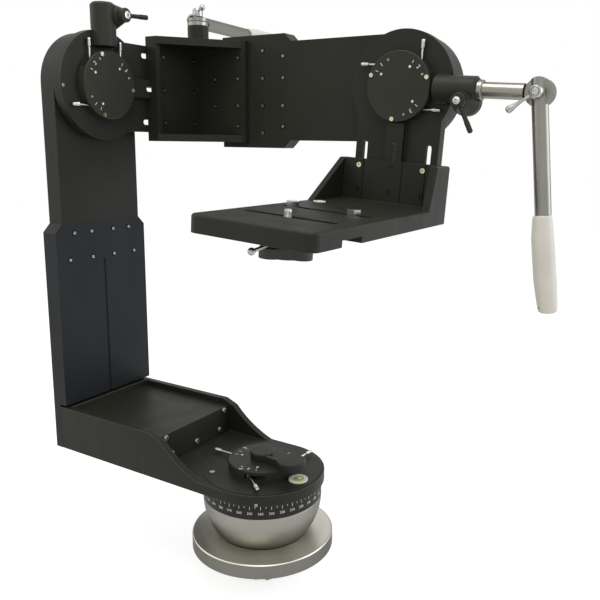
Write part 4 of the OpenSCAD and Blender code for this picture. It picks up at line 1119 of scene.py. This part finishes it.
class HEAD_OT_marks(bpy.types.Operator):
    """Fills the degree ring and the dials with plain white marks"""
    bl_idname = "head.marks"
    bl_label = "Marks"

    # The degree ring's radius and top, the azimuth of its zero in degrees and the gaps round its ticks
    ring_r = mm(75.0)
    ring_top = mm(86.0)
    zero_at = 184.0
    tick_gap = mm(1.2)
    number_gap = mm(1.5)
    half_tick = 0.55
    # Dial marks: shares of the dial's radius, turns from their lever in degrees, and sizes
    number_share = 0.81
    dot_share = 0.645
    dash_turn = 16.0
    dash_lean = 12.0
    dash_w = mm(0.7)
    dash_l = mm(4.2)
    zero_turn = -17.0
    zero_size = 0.6

    def execute(self, context):
        self.degree_numbers()
        self.degree_ticks()
        self.dials()
        return {"FINISHED"}

    def word(self, text, height):
        """A short number as a mesh, centred, standing on z = 0."""
        deselect()
        bpy.ops.object.text_add()
        obj = bpy.context.object
        obj.data.body = text
        obj.data.size = height
        obj.data.align_x = "CENTER"
        obj.data.align_y = "CENTER"
        obj.data.extrude = sizes().mark_t / 2
        obj.data.resolution_u = 3
        bpy.ops.object.convert(target="MESH")
        return settle(bpy.context.object)

    def bar(self, width, length):
        """A flat mark with tapered edges, centred on z = 0."""
        deselect()
        bpy.ops.mesh.primitive_cube_add(size=1.0)
        obj = bpy.context.object
        place(obj, Matrix.Diagonal((width, length, sizes().mark_t, 1.0)))
        edit(obj)
        bpy.ops.mesh.bevel(offset=width * 0.15, segments=1, affect="EDGES")
        bpy.ops.object.mode_set(mode="OBJECT")
        return settle(obj)

    def wrap(self, obj, degrees, height):
        """Bends a flat mark round the ring at an azimuth and height."""
        start = math.radians(degrees)
        for v in obj.data.vertices:
            turn = start + v.co.x / self.ring_r
            radius = self.ring_r + v.co.z
            v.co = (radius * math.cos(turn), radius * math.sin(turn), height + v.co.y)
        obj.data.update()
        return obj

    def degree_numbers(self):
        """A number every ten degrees round the ring."""
        height = self.ring_top - sizes().tick_l - sizes().number_h * 1.05 - self.number_gap
        pieces = []
        for value in range(0, 360, 10):
            label = self.word(str(value), sizes().number_h)
            pieces.append(self.wrap(label, self.zero_at - value, height))
        fit_piece(joined(*pieces), "degree_numbers", "ball", "black_anodised", "white_mark")

    def degree_ticks(self):
        """A tick every five degrees, longer at the tens."""
        pieces = []
        for start, length in ((0, sizes().tick_l), (5, sizes().tick_l * self.half_tick)):
            pattern = self.bar(sizes().tick_w, length)
            height = self.ring_top - self.tick_gap - length / 2
            for value in range(start, 360, 10):
                pieces.append(self.wrap(twin(pattern), self.zero_at - value, height))
            discard(pattern)
        fit_piece(joined(*pieces), "degree_ticks", "ball", "black_anodised", "white_mark")

    def dials(self):
        """Drag numbers, dashes, zeros and dots by each lever."""
        height = sizes().dial_number_h
        numbers = [self.word(label, height) for label in ("1", "2", "3")]
        dash = self.bar(self.dash_w, self.dash_l)
        zero = self.word("0", height * self.zero_size)
        dot = self.dot()
        for unit, values in UNITS.items():
            pieces = []
            for pivot, number in zip(values["marks"], numbers):
                beside = pivot + self.dash_turn
                for pattern, degrees, share, lean in (
                        (number, pivot, self.number_share, 0.0),
                        (dash, beside, self.number_share, self.dash_lean),
                        (zero, pivot + self.zero_turn, self.number_share, 0.0),
                        (dot, beside, self.dot_share, 0.0)):
                    pieces.append(self.on_dial(twin(pattern), values["frame"], degrees, share, lean))
            fit_piece(joined(*pieces), unit + "_dial_marks", values["body"], "black_anodised", "white_mark")
        for pattern in (*numbers, dash, zero, dot):
            discard(pattern)

    def dot(self):
        """A round filled dot with a soft rim."""
        r = sizes().dot_d * 500.0
        t = sizes().mark_t * 500.0
        return spun(((0.0, -t), (r, -t), (r, t * 0.5), (r * 0.9, t), (0.0, t)), 24)

    def on_dial(self, obj, lay, degrees, share, lean):
        """Lays a mark on the dial face at an angle and a share of its radius."""
        spot = at(0, 0, 0, degrees) @ Matrix.Translation((DIAL_R * share, 0.0, DIAL_FACE))
        return place(obj, lay @ spot @ at(0, 0, 0, lean - 90.0))


class HEAD_OT_stage(bpy.types.Operator):
    """Sets the floor, lights, backdrop and camera"""
    bl_idname = "head.stage"
    bl_label = "Stage"

    # Lamp name, place in metres, size in metres, power in watts and colour
    lamps = (("key", (1.1, -1.2, 1.8), 1.2, 10.0, (1.0, 0.98, 0.95)),
             ("top", (0.05, -0.35, 1.9), 0.8, 15.0, (1.0, 0.99, 0.96)),
             ("fill", (-1.6, -0.9, 1.1), 1.6, 7.0, (1.0, 0.97, 0.92)),
             ("sky", (1.6, 0.9, 0.9), 1.2, 16.0, (0.80, 0.90, 1.0)))
    aim = (-0.05, 0.05, 0.38)
    # Side of the floor in metres, its own colour, its glow to the camera and what its shadow takes from
    floor_side = 8.0
    floor_grey = 0.80
    floor_glow = 0.77
    shadow_grey = 0.40

    def execute(self, context):
        stage = context.scene.head_stage
        self.backdrop(stage)
        self.floor(stage)
        self.lights()
        self.camera(stage)
        context.scene.view_settings.view_transform = "Standard"
        return {"FINISHED"}

    def seen(self, tree):
        """One for camera, glossy and transmitted rays, and zero for the light that falls on the object."""
        path = tree.nodes.new("ShaderNodeLightPath")
        first = tree.nodes.new("ShaderNodeMath")
        first.operation = "MAXIMUM"
        tree.links.new(path.outputs["Is Camera Ray"], first.inputs[0])
        tree.links.new(path.outputs["Is Glossy Ray"], first.inputs[1])
        second = tree.nodes.new("ShaderNodeMath")
        second.operation = "MAXIMUM"
        tree.links.new(first.outputs["Value"], second.inputs[0])
        tree.links.new(path.outputs["Is Transmission Ray"], second.inputs[1])
        return second.outputs["Value"]

    def backdrop(self, stage):
        """White to the camera and to mirrors, plain soft light for everything else."""
        world = bpy.context.scene.world or bpy.data.worlds.new("studio")
        bpy.context.scene.world = world
        world.use_nodes = True
        tree = world.node_tree
        tree.nodes.clear()
        out = tree.nodes.new("ShaderNodeOutputWorld")
        mix = tree.nodes.new("ShaderNodeMixShader")
        for socket, strength in ((1, stage.soft_light), (2, 1.0)):
            light = tree.nodes.new("ShaderNodeBackground")
            light.inputs["Color"].default_value = (1.0, 1.0, 1.0, 1.0)
            light.inputs["Strength"].default_value = strength
            tree.links.new(light.outputs["Background"], mix.inputs[socket])
        tree.links.new(self.seen(tree), mix.inputs["Fac"])
        tree.links.new(mix.outputs["Shader"], out.inputs["Surface"])

    def floor(self, stage):
        """Pale floor that looks white and keeps a soft shadow."""
        deselect()
        bpy.ops.mesh.primitive_plane_add(size=self.floor_side, location=(0.0, 0.0, stage.floor_z))
        floor = bpy.context.object
        floor.name = "studio_floor"
        s = Shade("studio_floor")
        s.rough(s.spread(s.noise(6.0), 0.80, 0.90))
        s.set(Base_Color=(*[self.floor_grey] * 3, 1.0), Specular_IOR_Level=0.0)
        glow = s.add("ShaderNodeEmission")
        glow.inputs["Strength"].default_value = self.floor_glow
        shadow = s.add("ShaderNodeBsdfDiffuse")
        shadow.inputs["Color"].default_value = (*[self.shadow_grey] * 3, 1.0)
        both = s.add("ShaderNodeAddShader")
        s.link(glow.outputs["Emission"], both.inputs[0])
        s.link(shadow.outputs["BSDF"], both.inputs[1])
        mix = s.add("ShaderNodeMixShader")
        s.link(self.seen(s.tree), mix.inputs["Fac"])
        s.link(s.bsdf.outputs["BSDF"], mix.inputs[1])
        s.link(both.outputs["Shader"], mix.inputs[2])
        s.link(mix.outputs["Shader"], s.tree.nodes["Material Output"].inputs["Surface"])
        floor.data.materials.append(s.mat)

    def lights(self):
        """Soft square lamps that face the head."""
        for name, spot, size, power, colour in self.lamps:
            data = bpy.data.lights.new(name, "AREA")
            data.energy = power
            data.size = size
            data.color = colour
            lamp = bpy.data.objects.new(name, data)
            lamp.location = spot
            aim = Vector(self.aim) - Vector(spot)
            lamp.rotation_euler = aim.to_track_quat("-Z", "Y").to_euler()
            bpy.context.scene.collection.objects.link(lamp)

    def camera(self, stage):
        """The camera at the picture's viewing angle."""
        data = bpy.data.cameras.new("photo_view")
        data.lens = stage.lens
        data.sensor_width = 36.0
        data.shift_x = stage.shift[0]
        data.shift_y = stage.shift[1]
        camera = bpy.data.objects.new("photo_view", data)
        spot = Vector(stage.camera_at)
        back = (spot - Vector(stage.camera_to)).normalized()
        right = Vector((0.0, 0.0, 1.0)).cross(back).normalized()
        up = back.cross(right)
        turn = stage.camera_roll
        side = right * math.cos(turn) + up * math.sin(turn)
        top = up * math.cos(turn) - right * math.sin(turn)
        camera.matrix_world = Matrix.Translation(spot) @ Matrix((side, top, back)).transposed().to_4x4()
        bpy.context.scene.collection.objects.link(camera)
        bpy.context.scene.camera = camera


class HEAD_PT_panel(bpy.types.Panel):
    """Lists the dressing steps"""
    bl_label = "Fluid Head"
    bl_idname = "HEAD_PT_panel"
    bl_space_type = "VIEW_3D"
    bl_region_type = "UI"
    bl_category = "Fluid Head"

    def draw(self, context):
        for step in STEPS:
            self.layout.operator(step.bl_idname)


STEPS = (HEAD_OT_castings, HEAD_OT_platform, HEAD_OT_turned_work, HEAD_OT_grips, HEAD_OT_drag_levers,
         HEAD_OT_clamps, HEAD_OT_camera_fixing, HEAD_OT_levels, HEAD_OT_screws, HEAD_OT_marks, HEAD_OT_stage)
GROUPS = {"head_finish": HeadFinish, "head_sizes": HeadSizes, "head_stage": HeadStage}
CLASSES = (*GROUPS.values(), *STEPS, HEAD_PT_panel)


def register():
    for cls in CLASSES:
        bpy.utils.register_class(cls)
    for name, group in GROUPS.items():
        setattr(bpy.types.Scene, name, bpy.props.PointerProperty(type=group))


def unregister():
    for name in GROUPS:
        delattr(bpy.types.Scene, name)
    for cls in reversed(CLASSES):
        bpy.utils.unregister_class(cls)


def main():
    register()
    build_materials()
    bpy.ops.head.castings()
    bpy.ops.head.platform()
    bpy.ops.head.turned_work()
    bpy.ops.head.grips()
    bpy.ops.head.drag_levers()
    bpy.ops.head.clamps()
    bpy.ops.head.camera_fixing()
    bpy.ops.head.levels()
    bpy.ops.head.screws()
    bpy.ops.head.marks()
    bpy.ops.head.stage()


if __name__ == "__main__":
    main()
